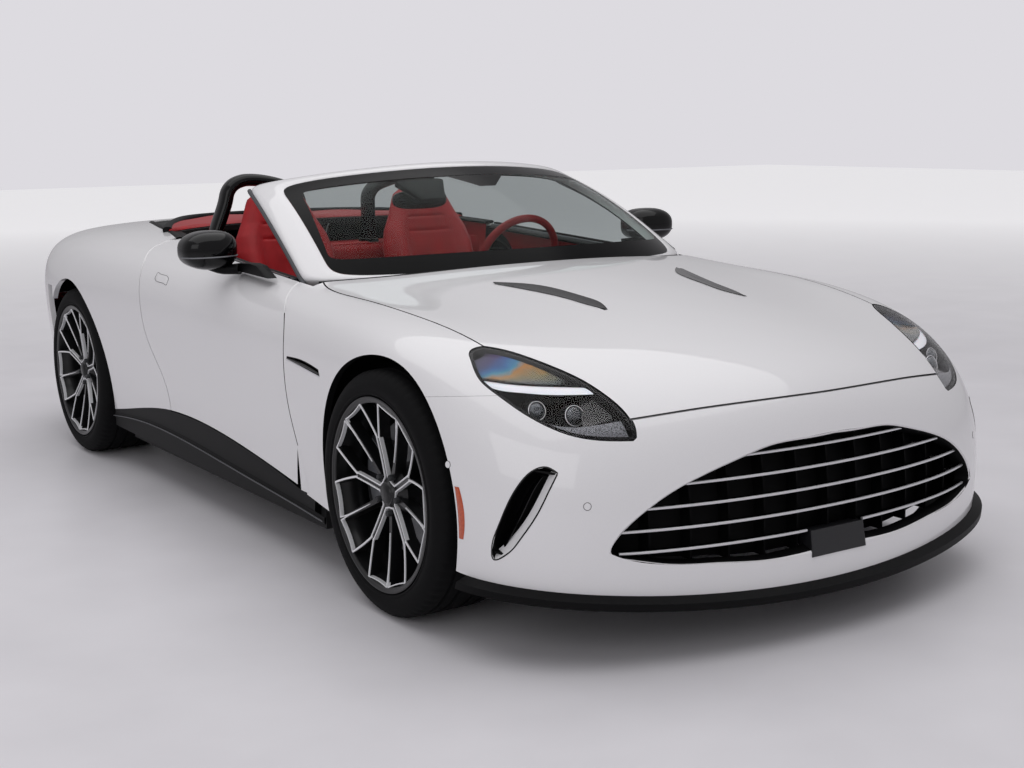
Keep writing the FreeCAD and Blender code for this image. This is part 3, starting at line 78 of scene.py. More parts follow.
body_shares = [
    [(0.934, -0.212, 0.184), (0.944, -0.303, 0.181), (0.949, -0.395, 0.178), (0.944, -0.487, 0.176),
     (0.909, -0.601, 0.173), (0.828, -0.716, 0.166), (0.707, -0.814, 0.157),
     (0.505, -0.900, 0.142), (0.253, -0.957, 0.131), (0.000, -0.971, 0.126)],
    [(0.934, -0.085, 0.176), (0.949, -0.212, 0.216), (0.960, -0.349, 0.232), (0.955, -0.475, 0.240),
     (0.919, -0.601, 0.240), (0.843, -0.716, 0.240), (0.722, -0.814, 0.240),
     (0.515, -0.905, 0.240), (0.258, -0.957, 0.240), (0.000, -0.971, 0.240)],
    [(0.934, 0.009, 0.160), (0.955, -0.108, 0.264), (0.968, -0.280, 0.320), (0.965, -0.452, 0.340),
     (0.924, -0.590, 0.344), (0.843, -0.710, 0.344), (0.722, -0.808, 0.344),
     (0.515, -0.900, 0.344), (0.258, -0.951, 0.344), (0.000, -0.966, 0.344)],
    [(0.934, 0.046, 0.152), (0.960, 0.002, 0.304), (0.975, -0.189, 0.400), (0.970, -0.395, 0.432),
     (0.924, -0.544, 0.438), (0.838, -0.670, 0.440), (0.712, -0.774, 0.440),
     (0.505, -0.871, 0.440), (0.253, -0.928, 0.444), (0.000, -0.946, 0.444)],
    [(0.934, 0.083, 0.148), (0.960, 0.043, 0.320), (0.978, -0.062, 0.456), (0.972, -0.280, 0.512),
     (0.924, -0.452, 0.524), (0.828, -0.579, 0.524), (0.697, -0.699, 0.516),
     (0.485, -0.814, 0.516), (0.242, -0.888, 0.520), (0.000, -0.911, 0.522)],
    [(0.934, 0.120, 0.144), (0.955, 0.087, 0.320), (0.980, 0.028, 0.496), (0.975, -0.108, 0.568),
     (0.924, -0.280, 0.596), (0.818, -0.418, 0.600), (0.677, -0.544, 0.588),
     (0.465, -0.670, 0.582), (0.232, -0.762, 0.586), (0.000, -0.791, 0.590)],
    [(0.934, 0.165, 0.140), (0.944, 0.143, 0.320), (0.975, 0.083, 0.512), (0.975, 0.032, 0.600),
     (0.924, -0.040, 0.640), (0.808, -0.166, 0.652), (0.657, -0.280, 0.640),
     (0.444, -0.395, 0.636), (0.222, -0.487, 0.642), (0.000, -0.521, 0.645)],
    [(0.929, 0.213, 0.136), (0.939, 0.202, 0.312), (0.960, 0.161, 0.480), (0.965, 0.120, 0.600),
     (0.924, 0.083, 0.660), (0.808, 0.050, 0.684), (0.652, 0.017, 0.674),
     (0.434, -0.062, 0.676), (0.217, -0.154, 0.684), (0.000, -0.189, 0.686)],
    [(0.927, 0.268, 0.132), (0.941, 0.268, 0.304), (0.947, 0.250, 0.448), (0.955, 0.220, 0.576),
     (0.924, 0.194, 0.656), (0.818, 0.168, 0.694), (0.667, 0.143, 0.698),
     (0.444, 0.113, 0.710), (0.222, 0.087, 0.720), (0.000, 0.076, 0.724)],
    [(0.927, 0.342, 0.128), (0.944, 0.342, 0.296), (0.944, 0.338, 0.432), (0.955, 0.324, 0.560),
     (0.929, 0.309, 0.652), (0.838, 0.290, 0.704), (0.697, 0.272, 0.724),
     (0.465, 0.250, 0.740), (0.232, 0.235, 0.748), (0.000, 0.228, 0.750)],
    [(0.929, 0.472, 0.126), (0.947, 0.472, 0.288), (0.947, 0.472, 0.424), (0.960, 0.472, 0.552),
     (0.944, 0.472, 0.652), (0.869, 0.472, 0.712), (0.727, 0.472, 0.744),
     (0.485, 0.472, 0.760), (0.242, 0.472, 0.764), (0.000, 0.472, 0.766)],
    [(0.929, 0.619, 0.128), (0.949, 0.619, 0.296), (0.955, 0.619, 0.432), (0.970, 0.619, 0.560),
     (0.960, 0.619, 0.656), (0.884, 0.619, 0.720), (0.737, 0.619, 0.756),
     (0.495, 0.619, 0.772), (0.247, 0.619, 0.776), (0.000, 0.619, 0.778)],
    [(0.931, 0.786, 0.132), (0.958, 0.786, 0.320), (0.978, 0.786, 0.464), (0.995, 0.786, 0.588),
     (0.970, 0.786, 0.680), (0.879, 0.786, 0.740), (0.727, 0.786, 0.772),
     (0.485, 0.786, 0.788), (0.242, 0.786, 0.792), (0.000, 0.786, 0.794)],
    [(0.934, 0.952, 0.136), (0.975, 0.952, 0.336), (1.000, 0.952, 0.488), (1.008, 0.952, 0.608),
     (0.965, 0.952, 0.700), (0.859, 0.952, 0.752), (0.707, 0.952, 0.778),
     (0.475, 0.952, 0.790), (0.237, 0.952, 0.794), (0.000, 0.952, 0.796)],
    [(0.929, 1.295, 0.140), (0.970, 1.295, 0.336), (0.990, 1.295, 0.488), (0.990, 1.295, 0.608),
     (0.934, 1.295, 0.696), (0.823, 1.295, 0.744), (0.672, 1.295, 0.764),
     (0.455, 1.295, 0.774), (0.227, 1.295, 0.778), (0.000, 1.295, 0.778)],
    [(0.909, 1.458, 0.144), (0.934, 1.513, 0.336), (0.944, 1.556, 0.488), (0.934, 1.600, 0.608),
     (0.879, 1.654, 0.684), (0.778, 1.719, 0.724), (0.646, 1.774, 0.740),
     (0.434, 1.828, 0.750), (0.217, 1.856, 0.755), (0.000, 1.867, 0.757)],
    [(0.899, 1.513, 0.148), (0.909, 1.600, 0.336), (0.909, 1.676, 0.480), (0.889, 1.741, 0.592),
     (0.828, 1.807, 0.652), (0.737, 1.856, 0.676), (0.616, 1.894, 0.686),
     (0.414, 1.932, 0.693), (0.207, 1.948, 0.696), (0.000, 1.954, 0.698)],
    [(0.889, 1.567, 0.152), (0.894, 1.665, 0.320), (0.889, 1.752, 0.448), (0.859, 1.823, 0.536),
     (0.798, 1.877, 0.572), (0.707, 1.916, 0.584), (0.591, 1.943, 0.590),
     (0.394, 1.968, 0.594), (0.197, 1.982, 0.595), (0.000, 1.986, 0.596)],
    [(0.879, 1.611, 0.160), (0.879, 1.709, 0.296), (0.869, 1.796, 0.384), (0.838, 1.861, 0.440),
     (0.783, 1.905, 0.456), (0.697, 1.937, 0.462), (0.581, 1.961, 0.464),
     (0.389, 1.983, 0.464), (0.192, 1.996, 0.464), (0.000, 1.999, 0.464)],
    [(0.869, 1.654, 0.172), (0.864, 1.741, 0.256), (0.848, 1.812, 0.304), (0.818, 1.867, 0.316),
     (0.768, 1.899, 0.318), (0.687, 1.924, 0.320), (0.571, 1.944, 0.320),
     (0.384, 1.957, 0.320), (0.192, 1.962, 0.320), (0.000, 1.965, 0.320)],
    [(0.859, 1.687, 0.184), (0.848, 1.752, 0.192), (0.828, 1.807, 0.204), (0.798, 1.845, 0.216),
     (0.753, 1.872, 0.224), (0.677, 1.892, 0.230), (0.566, 1.907, 0.235),
     (0.379, 1.919, 0.238), (0.192, 1.925, 0.240), (0.000, 1.926, 0.240)],
]


def mirrored_net(shares):
    """Whole net from the half one: places from shares, and the left side as the mirror image."""
    half = np.array(shares)
    half = np.stack([half[..., 0] * HALF, along(half[..., 1]), half[..., 2] * TALL], -1)
    return np.concatenate([half * (-1, 1, 1), half[:, -2::-1]], 1)


BODY_NET = mirrored_net(body_shares)


def basis(count, t):
    """Cubic clamped B-spline weights and slopes at t, by the usual recursion over degree."""
    knots = np.concatenate([[0.0] * 3, np.linspace(0, 1, count - 2), [1.0] * 3])
    t = np.clip(t, 0, 1 - 1e-12)
    table = [((t[:, None] >= knots[:-1]) & (t[:, None] < knots[1:])).astype(float)]
    for p in (1, 2, 3):
        old = table[-1]
        new = np.zeros((len(t), len(knots) - 1 - p))
        for k in range(len(knots) - 1 - p):
            left = knots[k + p] - knots[k]
            right = knots[k + p + 1] - knots[k + 1]
            if left > 0:
                new[:, k] += (t - knots[k]) / left * old[:, k]
            if right > 0:
                new[:, k] += (knots[k + p + 1] - t) / right * old[:, k + 1]
        table.append(new)
    lower = table[2]
    slope = np.zeros_like(table[3])
    for k in range(count):
        left = knots[k + 3] - knots[k]
        right = knots[k + 4] - knots[k + 1]
        if left > 0:
            slope[:, k] += 3 / left * lower[:, k]
        if right > 0:
            slope[:, k] -= 3 / right * lower[:, k + 1]
    return table[3], slope


def surface(net, u, v):
    """Points, outward normals and both slopes of a net's surface at pairs (u, v)."""
    wu, du = basis(net.shape[0], np.ravel(u).astype(float))
    wv, dv = basis(net.shape[1], np.ravel(v).astype(float))
    point = np.einsum("ni,nj,ijk->nk", wu, wv, net, optimize=True)
    su = np.einsum("ni,nj,ijk->nk", du, wv, net, optimize=True)
    sv = np.einsum("ni,nj,ijk->nk", wu, dv, net, optimize=True)
    normal = np.cross(sv, su)
    normal /= np.linalg.norm(normal, axis=1, keepdims=True) + 1e-12
    return point, normal, su, sv


COARSE = np.stack([a.ravel() for a in np.meshgrid(np.linspace(0, 1, 130), np.linspace(0, 1, 100),
                                                  indexing="ij")], 1)
COARSE_POINTS = surface(BODY_NET, COARSE[:, 0], COARSE[:, 1])[0]


def nearest(points):
    """Foot point and normal on the body nearest to each point: best of a grid, then Newton steps."""
    points = np.asarray(points, float).reshape(-1, 3)
    square = (COARSE_POINTS ** 2).sum(1)
    best = np.concatenate([np.argmin(square - 2 * block @ COARSE_POINTS.T, axis=1)
                           for block in np.array_split(points, len(points) // 4000 + 1)])
    uv = COARSE[best].copy()
    for _ in range(6):
        foot, normal, su, sv = surface(BODY_NET, uv[:, 0], uv[:, 1])
        miss = points - foot
        a, b, c = (su * su).sum(1), (su * sv).sum(1), (sv * sv).sum(1)
        d, e = (su * miss).sum(1), (sv * miss).sum(1)
        det = a * c - b * b + 1e-12
        step = np.stack([(c * d - b * e) / det, (a * e - b * d) / det], 1)
        uv = np.clip(uv + np.clip(step, -0.02, 0.02), 0, 1)
    return surface(BODY_NET, uv[:, 0], uv[:, 1])[:2]


def cast(points, way):
    """Where lines through points along way meet the body: each step meets the tangent plane."""
    points, way = np.array(points, float).reshape(-1, 3), np.asarray(way, float)
    for _ in range(7):
        foot, normal = nearest(points)
        lean = normal @ way
        lean = np.where(np.abs(lean) < 0.15, 0.15 * np.sign(lean + 1e-9), lean)
        points = points + np.clip(((foot - points) * normal).sum(1) / lean, -0.3, 0.3)[:, None] * way
    return points, nearest(points)[1]


def linear(code):
    """sRGB hex to linear colour."""
    parts = [int(code[k:k + 2], 16) / 255 for k in (0, 2, 4)]
    return [c / 12.92 if c <= 0.04045 else ((c + 0.055) / 1.055) ** 2.4 for c in parts] + [1.0]


def add(made, kind, **settings):
    """Adds a node; each setting is a property, a socket's value or a link to another's output."""
    tree = made.node_tree
    fresh = tree.nodes.new(kind)
    for name, value in settings.items():
        socket = next((s for s in fresh.inputs if s.name.replace(" ", "_") == name), None)
        if socket is None:
            setattr(fresh, name, value)
        elif isinstance(value, bpy.types.NodeSocket):
            tree.links.new(value, socket)
        else:
            socket.default_value = value
    return fresh


def material(name, code, rough, metal=0.0, spots=None, bumps=None, **sockets):
    """A surface of one colour, with the arguments of mottled and relief where it is uneven."""
    made = bpy.data.materials.new(name)
    made.use_nodes = True
    shader = made.node_tree.nodes["Principled BSDF"]
    shader.inputs["Base Color"].default_value = linear(code)
    shader.inputs["Roughness"].default_value = rough
    shader.inputs["Metallic"].default_value = metal
    for key, value in sockets.items():
        shader.inputs[key.replace("_", " ")].default_value = value
    if spots:
        height = mottled(made, *spots)
    if bumps:
        relief(made, height, *bumps)
    return made


def into(made, socket, output):
    """Links an output to a socket of the surface's own shader."""
    made.node_tree.links.new(output, made.node_tree.nodes["Principled BSDF"].inputs[socket])


def relief(made, height, strength, distance_mm):
    """Turns a height pattern into bumps of a real depth."""
    bump = add(made, "ShaderNodeBump", Height=height, Strength=strength,
               Distance=distance_mm / 1000)
    into(made, "Normal", bump.outputs["Normal"])


def mottled(made, size_mm, low, high, dark, light, detail=3.0):
    """Noise of one size that moves roughness between two values and colour between two codes."""
    where = add(made, "ShaderNodeTexCoord")
    noise = add(made, "ShaderNodeTexNoise", Vector=where.outputs["Object"],
                Scale=1000 / size_mm, Detail=detail)
    rough = add(made, "ShaderNodeMapRange", Value=noise.outputs["Fac"], To_Min=low, To_Max=high)
    ramp = add(made, "ShaderNodeValToRGB", Fac=noise.outputs["Fac"])
    ramp.color_ramp.elements[0].position, ramp.color_ramp.elements[1].position = 0.3, 0.7
    ramp.color_ramp.elements[0].color = linear(dark)
    ramp.color_ramp.elements[1].color = linear(light)
    into(made, "Roughness", rough.outputs["Result"])
    into(made, "Base Color", ramp.outputs["Color"])
    return noise.outputs["Fac"]


# Solid white two-layer car paint: a smooth clear coat over a white base, with the faint waviness
# of sprayed lacquer about 4 mm across
white_paint = material("white two-layer car paint", "e9e8ea", 0.38, Coat_Weight=1.0, Coat_Roughness=0.03,
                       IOR=1.5, spots=(4, 0.36, 0.42, "e8e7e9", "eae9eb"), bumps=(0.04, 0.2))

# Gloss black paint on hoops, mirrors and trim, as hard and smooth as piano lacquer
black_gloss = material("black piano lacquer", "030304", 0.24, Coat_Weight=0.45, Coat_Roughness=0.03,
                       Specular_IOR_Level=0.1, spots=(5, 0.22, 0.28, "020203", "040405"))

# Satin black plastic of splitter, skirts and vents: moulded, with a fine spark-eroded grain
black_plastic = material("moulded black plastic", "060607", 0.46, Specular_IOR_Level=0.12,
                         spots=(2.5, 0.42, 0.54, "050506", "080809"), bumps=(0.3, 0.15))

# Cut edges of the painted panels in dull near black: painted shade for the dark of the gaps between
# panels, of the arches and of the openings, on edges that are painted like the body on the car
painted_gap_shade = material("panel edge with painted gap shade", "0a0a0b", 0.8, Specular_IOR_Level=0.1,
                      spots=(4, 0.75, 0.85, "08080a", "0d0d0e"))


def panel(name, paint, edge=None, turn=0.5, beside_skin=0.0012):
    """Copy of a cut panel with the body's own normals.

    Faces whose cosine with those normals is under turn are edges and wear the edge's material, which
    on the painted skins is painted shade for the gaps between panels."""
    source = NODES[name]
    mesh = source.data.copy()
    mesh.name = name + "_skin"
    made = bpy.data.objects.new(name + "_skin", mesh)
    bpy.context.scene.collection.objects.link(made)
    mesh.materials.clear()
    mesh.materials.append(paint)
    co = np.zeros(len(mesh.vertices) * 3)
    mesh.vertices.foreach_get("co", co)
    co = co.reshape(-1, 3)
    corners = np.zeros(len(mesh.loops), int)
    mesh.loops.foreach_get("vertex_index", corners)
    tri = co[corners].reshape(-1, 3, 3)
    flat = np.cross(tri[:, 1] - tri[:, 0], tri[:, 2] - tri[:, 0])
    flat /= np.linalg.norm(flat, axis=1, keepdims=True) + 1e-15
    single, back = np.unique(np.round(co, 6), axis=0, return_inverse=True)
    foot, normal = nearest(single)
    foot, normal = foot[back.ravel()], normal[back.ravel()]
    gap = np.linalg.norm(co - foot, axis=1)[corners].reshape(-1, 3)
    wanted = normal[corners].reshape(-1, 3, 3)
    agree = (wanted * flat[:, None]).sum(2)
    level = (gap < beside_skin).all(1)[:, None] | (gap > beside_skin).all(1)[:, None]
    loops = np.where(((np.abs(agree) > 0.8) & level)[..., None],
                     wanted * np.sign(agree)[..., None], flat[:, None])
    if edge:
        mesh.materials.append(edge)
        mesh.polygons.foreach_set("material_index", (agree.max(1) < turn).astype(int))
    mesh.normals_split_custom_set(loops.reshape(-1, 3))
    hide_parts(name)
    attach(made, source["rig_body"])


# Painted skins whose cut edges are near black, painted shade for the gaps between panels
for name in ("bonnet", "wing_R", "wing_L", "front_bumper", "door_R", "door_L", "boot_lid"):
    panel(name, white_paint, painted_gap_shade)
for name in ("rear_body", "rear_bumper"):
    panel(name, white_paint, painted_gap_shade, -0.5)


def finish(paint, *names):
    """The finish of CAD nodes whose shape is right as it is."""
    for name in names:
        mesh = NODES[name].data
        mesh.materials.clear()
        mesh.materials.append(paint)

# Lower trim: splitter, side skirts and diffuser, moulded in black plastic and screwed under the
# painted skins, with the coated floor and frame behind them.
for name in ("side_skirt_R", "side_skirt_L"):
    panel(name, black_plastic)
finish(black_plastic, "splitter", "diffuser", "cowl", "grille_fins", "headlamp_R", "headlamp_L")

# Stone-chip coating on the floor: sprayed thick, dull and slightly lumpy
floor_coat = material("stone-chip floor coating", "101011", 0.8, spots=(8, 0.72, 0.9, "0d0d0e", "161617"),
                      bumps=(0.5, 0.6))
finish(floor_coat, "underbody")

# Cast and forged steel of axles, knuckles and engine, grey with a sand-cast skin
cast_steel = material("sand-cast steel", "3c3d3f", 0.55, 0.85, spots=(6, 0.45, 0.65, "323335", "4a4b4d"),
                      bumps=(0.4, 0.4))
finish(cast_steel, "knuckle_R", "knuckle_L", "front_axle", "rear_axle", "engine")


def grid(rows, columns, closed_rows=False, closed_columns=False):
    """Four-cornered faces over a grid of points numbered row by row."""
    i = np.arange(rows if closed_rows else rows - 1)
    j = np.arange(columns if closed_columns else columns - 1)
    i, j = np.meshgrid(i, j, indexing="ij")
    i, j = i.ravel(), j.ravel()
    up, over = (i + 1) % rows, (j + 1) % columns
    return np.stack([i * columns + j, i * columns + over, up * columns + over, up * columns + j], 1)


def piece(name, parts, body, hides=(), sharp=35, flip=None):
    """One object made of (points, faces, material) parts, shaded smooth but for sharp edges.

    Closed shapes have their faces turned outwards; flip keeps or reverses those of open sheets."""
    points, faces, marks, paints = [], [], [], []
    start = 0
    for where, what, paint in parts:
        where = np.asarray(where, float).reshape(-1, 3)
        if paint not in paints:
            paints.append(paint)
        points.append(where)
        what = [[int(k) + start for k in face] for face in what]
        faces += what
        marks += [paints.index(paint)] * len(what)
        start += len(where)
    if flip:
        faces = [face[::-1] for face in faces]
    mesh = bpy.data.meshes.new(name)
    mesh.from_pydata(np.concatenate(points).tolist(), [], faces)
    for paint in paints:
        mesh.materials.append(paint)
    mesh.polygons.foreach_set("material_index", marks)
    if flip is None:
        shape = bmesh.new()
        shape.from_mesh(mesh)
        bmesh.ops.recalc_face_normals(shape, faces=shape.faces)
        shape.to_mesh(mesh)
        shape.free()
    mesh.shade_smooth()
    mesh.set_sharp_from_angle(angle=math.radians(sharp))
    mesh.update()
    made = bpy.data.objects.new(name, mesh)
    bpy.context.scene.collection.objects.link(made)
    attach(made, body)
    if hides:
        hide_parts(*hides)
    return made

# Windscreen: laminated glass glued into a white frame of bent pillars and header, with a fired
# black border that hides the glue, a sensor cover at the top and a mirror hung below it.
screen_shares = [
    [(0.800, 0.290, 0.705), (0.640, 0.236, 0.712), (0.330, 0.198, 0.716), (0, 0.186, 0.717)],
    [(0.785, 0.352, 0.785), (0.625, 0.290, 0.812), (0.315, 0.248, 0.822), (0, 0.236, 0.825)],
    [(0.752, 0.440, 0.882), (0.590, 0.372, 0.920), (0.300, 0.330, 0.938), (0, 0.320, 0.942)],
    [(0.700, 0.530, 0.938), (0.560, 0.470, 0.966), (0.290, 0.424, 0.992), (0, 0.410, 1.000)],
]
SCREEN_NET = mirrored_net(screen_shares)


def loop(middle, half, power, count):
    """Rounded rectangle in (u, v): points spaced evenly round a square, drawn in to a superellipse."""
    s = np.linspace(0, 8, count, endpoint=False)
    a = np.clip(np.abs(s - 4) - 2, -1, 1)
    b = -np.clip(np.abs((s + 2) % 8 - 4) - 2, -1, 1)
    near = (np.abs(a) ** power + np.abs(b) ** power) ** (-1 / power)
    return np.stack([middle[0] + half[0] * a * near, middle[1] + half[1] * b * near], 1)


def band(net, outer, inner, levels, closed=True):
    """Band between two loops on a net: levels are (share from outer to inner, depth) round it."""
    rows = []
    for share, depth in levels:
        uv = outer * (1 - share) + inner * share
        point, normal = surface(net, uv[:, 0], uv[:, 1])[:2]
        rows.append(point - normal * depth)
    return np.stack(rows), grid(len(levels), len(outer), closed_rows=closed, closed_columns=True)


def smooth(points, count):
    """Natural cubic spline through points, spaced by the length of each chord."""
    points = np.asarray(points, float)
    step = np.linalg.norm(np.diff(points, axis=0), axis=1)
    knot = np.concatenate([[0], np.cumsum(step)])
    size = len(points)
    left = np.eye(size)
    right = np.zeros_like(points)
    for k in range(1, size - 1):
        left[k, k - 1:k + 2] = step[k - 1], 2 * (step[k - 1] + step[k]), step[k]
        right[k] = 6 * ((points[k + 1] - points[k]) / step[k] - (points[k] - points[k - 1]) / step[k - 1])
    bend = np.linalg.solve(left, right)
    t = np.linspace(0, knot[-1], count)
    k = np.clip(np.searchsorted(knot, t) - 1, 0, size - 2)
    h = step[k][:, None]
    a, b = (knot[k + 1] - t)[:, None], (t - knot[k])[:, None]
    return (bend[k] * a ** 3 + bend[k + 1] * b ** 3) / (6 * h) + \
        (points[k] / h - bend[k] * h / 6) * a + (points[k + 1] / h - bend[k + 1] * h / 6) * b


def frames(path, up, closed=False):
    """Directions along, across and square to a path, the last nearest to up."""
    if closed:
        ahead = np.roll(path, -1, 0) - np.roll(path, 1, 0)
    else:
        ahead = np.gradient(path, axis=0)
    ahead /= np.linalg.norm(ahead, axis=1, keepdims=True) + 1e-12
    up = np.broadcast_to(np.asarray(up, float), path.shape)
    across = np.cross(ahead, up)
    across /= np.linalg.norm(across, axis=1, keepdims=True) + 1e-12
    return ahead, across, np.cross(across, ahead)


def carried(path, outline, up=(0, 0, 1), closed=False, scale=1.0):
    """Outline of (across, up) offsets carried along a path, its ends closed by fans."""
    path, outline = np.asarray(path, float), np.asarray(outline, float)
    across, square = frames(path, up, closed)[1:]
    scale = np.broadcast_to(np.asarray(scale, float), len(path))[:, None, None]
    points = path[:, None] + scale * (outline[:, 0, None] * across[:, None] +
                                      outline[:, 1, None] * square[:, None])
    rows, columns = points.shape[:2]
    faces = grid(rows, columns, closed_rows=closed, closed_columns=True).tolist()
    points = points.reshape(-1, 3)
    if not closed:
        faces += [list(range(columns))[::-1], [(rows - 1) * columns + k for k in range(columns)]]
    return points, faces


def full_turn(count):
    """Angles evenly spaced round a full turn."""
    return np.linspace(0, 2 * np.pi, count, endpoint=False)


def squared(wave, power):
    """Sine or cosine raised to 2 / power with its sign kept: round at 2, squarer above."""
    return np.sign(wave) * np.abs(wave) ** (2 / power)


def oval(half_wide, half_tall, count=12, power=2.0):
    """Superellipse as (across, up) pairs."""
    turn = full_turn(count)
    return np.stack([half_wide * squared(np.cos(turn), power),
                     half_tall * squared(np.sin(turn), power)], 1)


edge_loop = loop((0.5, 0.5), (0.5, 0.5), 26, 480)
glass_loop = loop((0.480, 0.5), (0.450, 0.459), 14, 480)
clear_loop = loop((0.497, 0.5), (0.328, 0.443), 20, 480)
clear_loop[:, 1] = 0.5 + (clear_loop[:, 1] - 0.5) * (1.03 - 0.06 * clear_loop[:, 0])
frame_levels = [(0, 0.012), (0.02, 0.003), (0.10, -0.002), (0.30, -0.004), (0.65, -0.004), (0.93, -0.002),
                (1.0, 0.0015), (1.0, 0.034), (0.5, 0.036), (0.05, 0.034), (0, 0.028)]
piece("screen_frame", [(*band(SCREEN_NET, edge_loop, glass_loop, frame_levels), white_paint)],
      "chassis", ["windscreen_frame"], sharp=50)

# Laminated glass, clear with a faint green cast; it lets light through without bending it
clear_glass = material("laminated screen glass", "dfeae6", 0.0, Transmission_Weight=1.0, IOR=1.02,
                       Coat_Weight=0.12, Coat_IOR=1.45, Coat_Roughness=0.01)
middle_loop = np.full((480, 2), 0.5)
sheet_levels = [(share, 0.0010) for share in np.linspace(0.001, 0.998, 30)]
sheet_levels += [(share, 0.0055) for share in np.linspace(0.998, 0.001, 30)]
piece("screen_glass", [(*band(SCREEN_NET, middle_loop, glass_loop, sheet_levels, False), clear_glass)],
      "chassis", ["windscreen"], sharp=50)

# Black ceramic fired on the glass, and the black cover of the sensors at its top
ceramic = material("fired black ceramic", "030304", 0.22, Specular_IOR_Level=0.08,
                   spots=(30, 0.20, 0.26, "020203", "050506"))
patch_u, patch_v = [a.ravel() for a in np.meshgrid(np.linspace(0.70, 0.82, 12), np.linspace(-1, 1, 24),
                                                   indexing="ij")]
patch_at = surface(SCREEN_NET, patch_u, 0.5 + patch_v * (0.028 + (patch_u - 0.70) * 0.62))
border_levels = [(share, 0.0004) for share in np.linspace(0.004, 1, 12)]
piece("screen_border", [(*band(SCREEN_NET, glass_loop, clear_loop, border_levels, False), ceramic),
                        (patch_at[0] - patch_at[1] * 0.0004, grid(12, 24), ceramic)],
      "chassis", flip=False)

# Frame lining inside, and the grey rubber seals for the door glass along the pillars
black_leather = material("black coated hide", "0a0a0b", 0.55, Specular_IOR_Level=0.15,
                         spots=(4, 0.48, 0.62, "08080a", "0e0e0f"), bumps=(0.35, 0.4))
lining_levels = [(0.02, 0.0300), (0.06, 0.0375), (0.5, 0.0400), (0.95, 0.0390), (1.02, 0.0340)]
seal_rubber = material("extruded grey sealing rubber", "4b4c50", 0.62,
                       spots=(2, 0.56, 0.70, "46474b", "515256"), bumps=(0.2, 0.2))
seal_parts = []
for v in (0.0, 1.0):
    point, normal = surface(SCREEN_NET, np.linspace(0.015, 0.985, 60), np.full(60, v))[:2]
    outward = np.array([-1.0 if v == 0 else 1.0, 0, 0])
    seal_parts.append((*carried(point - normal * 0.022 + outward * 0.003, oval(0.0085, 0.0120, 14, 2.6),
                                up=normal.mean(0)), seal_rubber))
piece("screen_lining", [(*band(SCREEN_NET, edge_loop, glass_loop, lining_levels, False), black_leather)] +
      seal_parts, "chassis")


def pebble(middle, half, power=2.4, rows=24, columns=48, squeeze=lambda p: p):
    """Closed superellipsoid: powers of cosines and sines of two turns, reshaped by squeeze."""
    a, b = np.meshgrid(np.linspace(-np.pi / 2, np.pi / 2, rows), full_turn(columns), indexing="ij")
    out, high = squared(np.cos(a), power), squared(np.sin(a), power)
    spots = np.stack([out * squared(np.cos(b), power), out * squared(np.sin(b), power), high], -1)
    spots = squeeze(spots.reshape(-1, 3))
    return spots * np.asarray(half) + np.asarray(middle), grid(rows, columns, closed_columns=True)


def turned_block(points, middle, axis, degrees):
    """Points turned about an axis through a middle."""
    spin = np.array(Matrix.Rotation(math.radians(degrees), 3, axis))
    return (np.asarray(points) - middle) @ spin.T + np.asarray(middle)


# Inside mirror: silvered glass in a black moulded head, on a stalk from the cover of the sensors,
# which is glued to the top of the screen.
mirror_glass = material("silvered mirror glass", "b9bdc0", 0.02, 1.0)
head_at = np.array([0.0, 0.020, 1.098])
head = pebble(head_at, (0.118, 0.022, 0.036), 3.0)
stalk = carried(smooth([(0, 0.010, 1.150), (0, -0.002, 1.125), (0, 0.016, 1.105)], 10),
                oval(0.016, 0.010, 12), up=(0, 1, 0))
pane = pebble(head_at + (0, 0.0205, 0), (0.110, 0.003, 0.030), 3.0)
cover_path = np.stack([np.zeros(12), np.linspace(-0.085, 0.022, 12), np.linspace(1.098, 1.160, 12)], 1)
cover = carried(cover_path, oval(0.085, 0.017, 24, 4.0), up=(0, -0.5, 1),
                scale=np.linspace(0.62, 1.25, 12))
piece("inside_mirror", [(*head, black_gloss), (*stalk, black_plastic), (*pane, mirror_glass),
                        (*cover, black_plastic)], "chassis")

# Bonnet vents and wing strakes: black moulded inserts clipped into slots of the panels. Each floor
# is a grid between the slot's two edges, sunk below the skin, with a thin lip round the slot.
ACROSS, LENGTHWISE, UPWARDS = (1, 0, 0), (0, 1, 0), (0, 0, 1)


def spread(x, y, z):
    """Points from three arrays or numbers, of which a single number serves for all."""
    return np.stack([np.ravel(a) for a in np.broadcast_arrays(x, y, z)], 1)


def sheet(rows, paint, closed=False):
    """Rows of points joined one to the next, open or closed round, with their material."""
    rows = np.asarray(rows)
    return rows, grid(*rows.shape[:2], closed_columns=closed), paint


def plan_run(shares, side, count):
    """Points on the body above an outline of (across, along) shares."""
    flat = smooth([(side * a * HALF, float(along(b)), 0) for a, b in shares], count)
    flat[:, 2] = 0.80
    return cast(flat, UPWARDS)


def side_run(shares, side, count):
    """Points on the body beside an outline of (along, up) shares."""
    flat = smooth([(0, float(along(a)), b * TALL) for a, b in shares], count)
    flat[:, 0] = side * 0.94
    return cast(flat, ACROSS)


def basin(first, second, rim, deep, rows=9, power=0.5):
    """Floor between two edges of a slot, sunk along the normals as a rounded trough."""
    share = np.linspace(0, 1, rows)[:, None, None]
    point = first[0] * (1 - share) + second[0] * share
    normal = first[1] * (1 - share) + second[1] * share
    depth = rim + (deep - rim) * np.sin(np.pi * share) ** power
    return (point - normal * depth).reshape(-1, 3), grid(rows, len(first[0]))


def lip(first, second, radius, sink):
    """Bead round a slot: along one edge and back along the other."""
    path = np.concatenate([first[0] - first[1] * sink, (second[0] - second[1] * sink)[::-1]])
    return carried(path, oval(radius, radius, 8), closed=True)


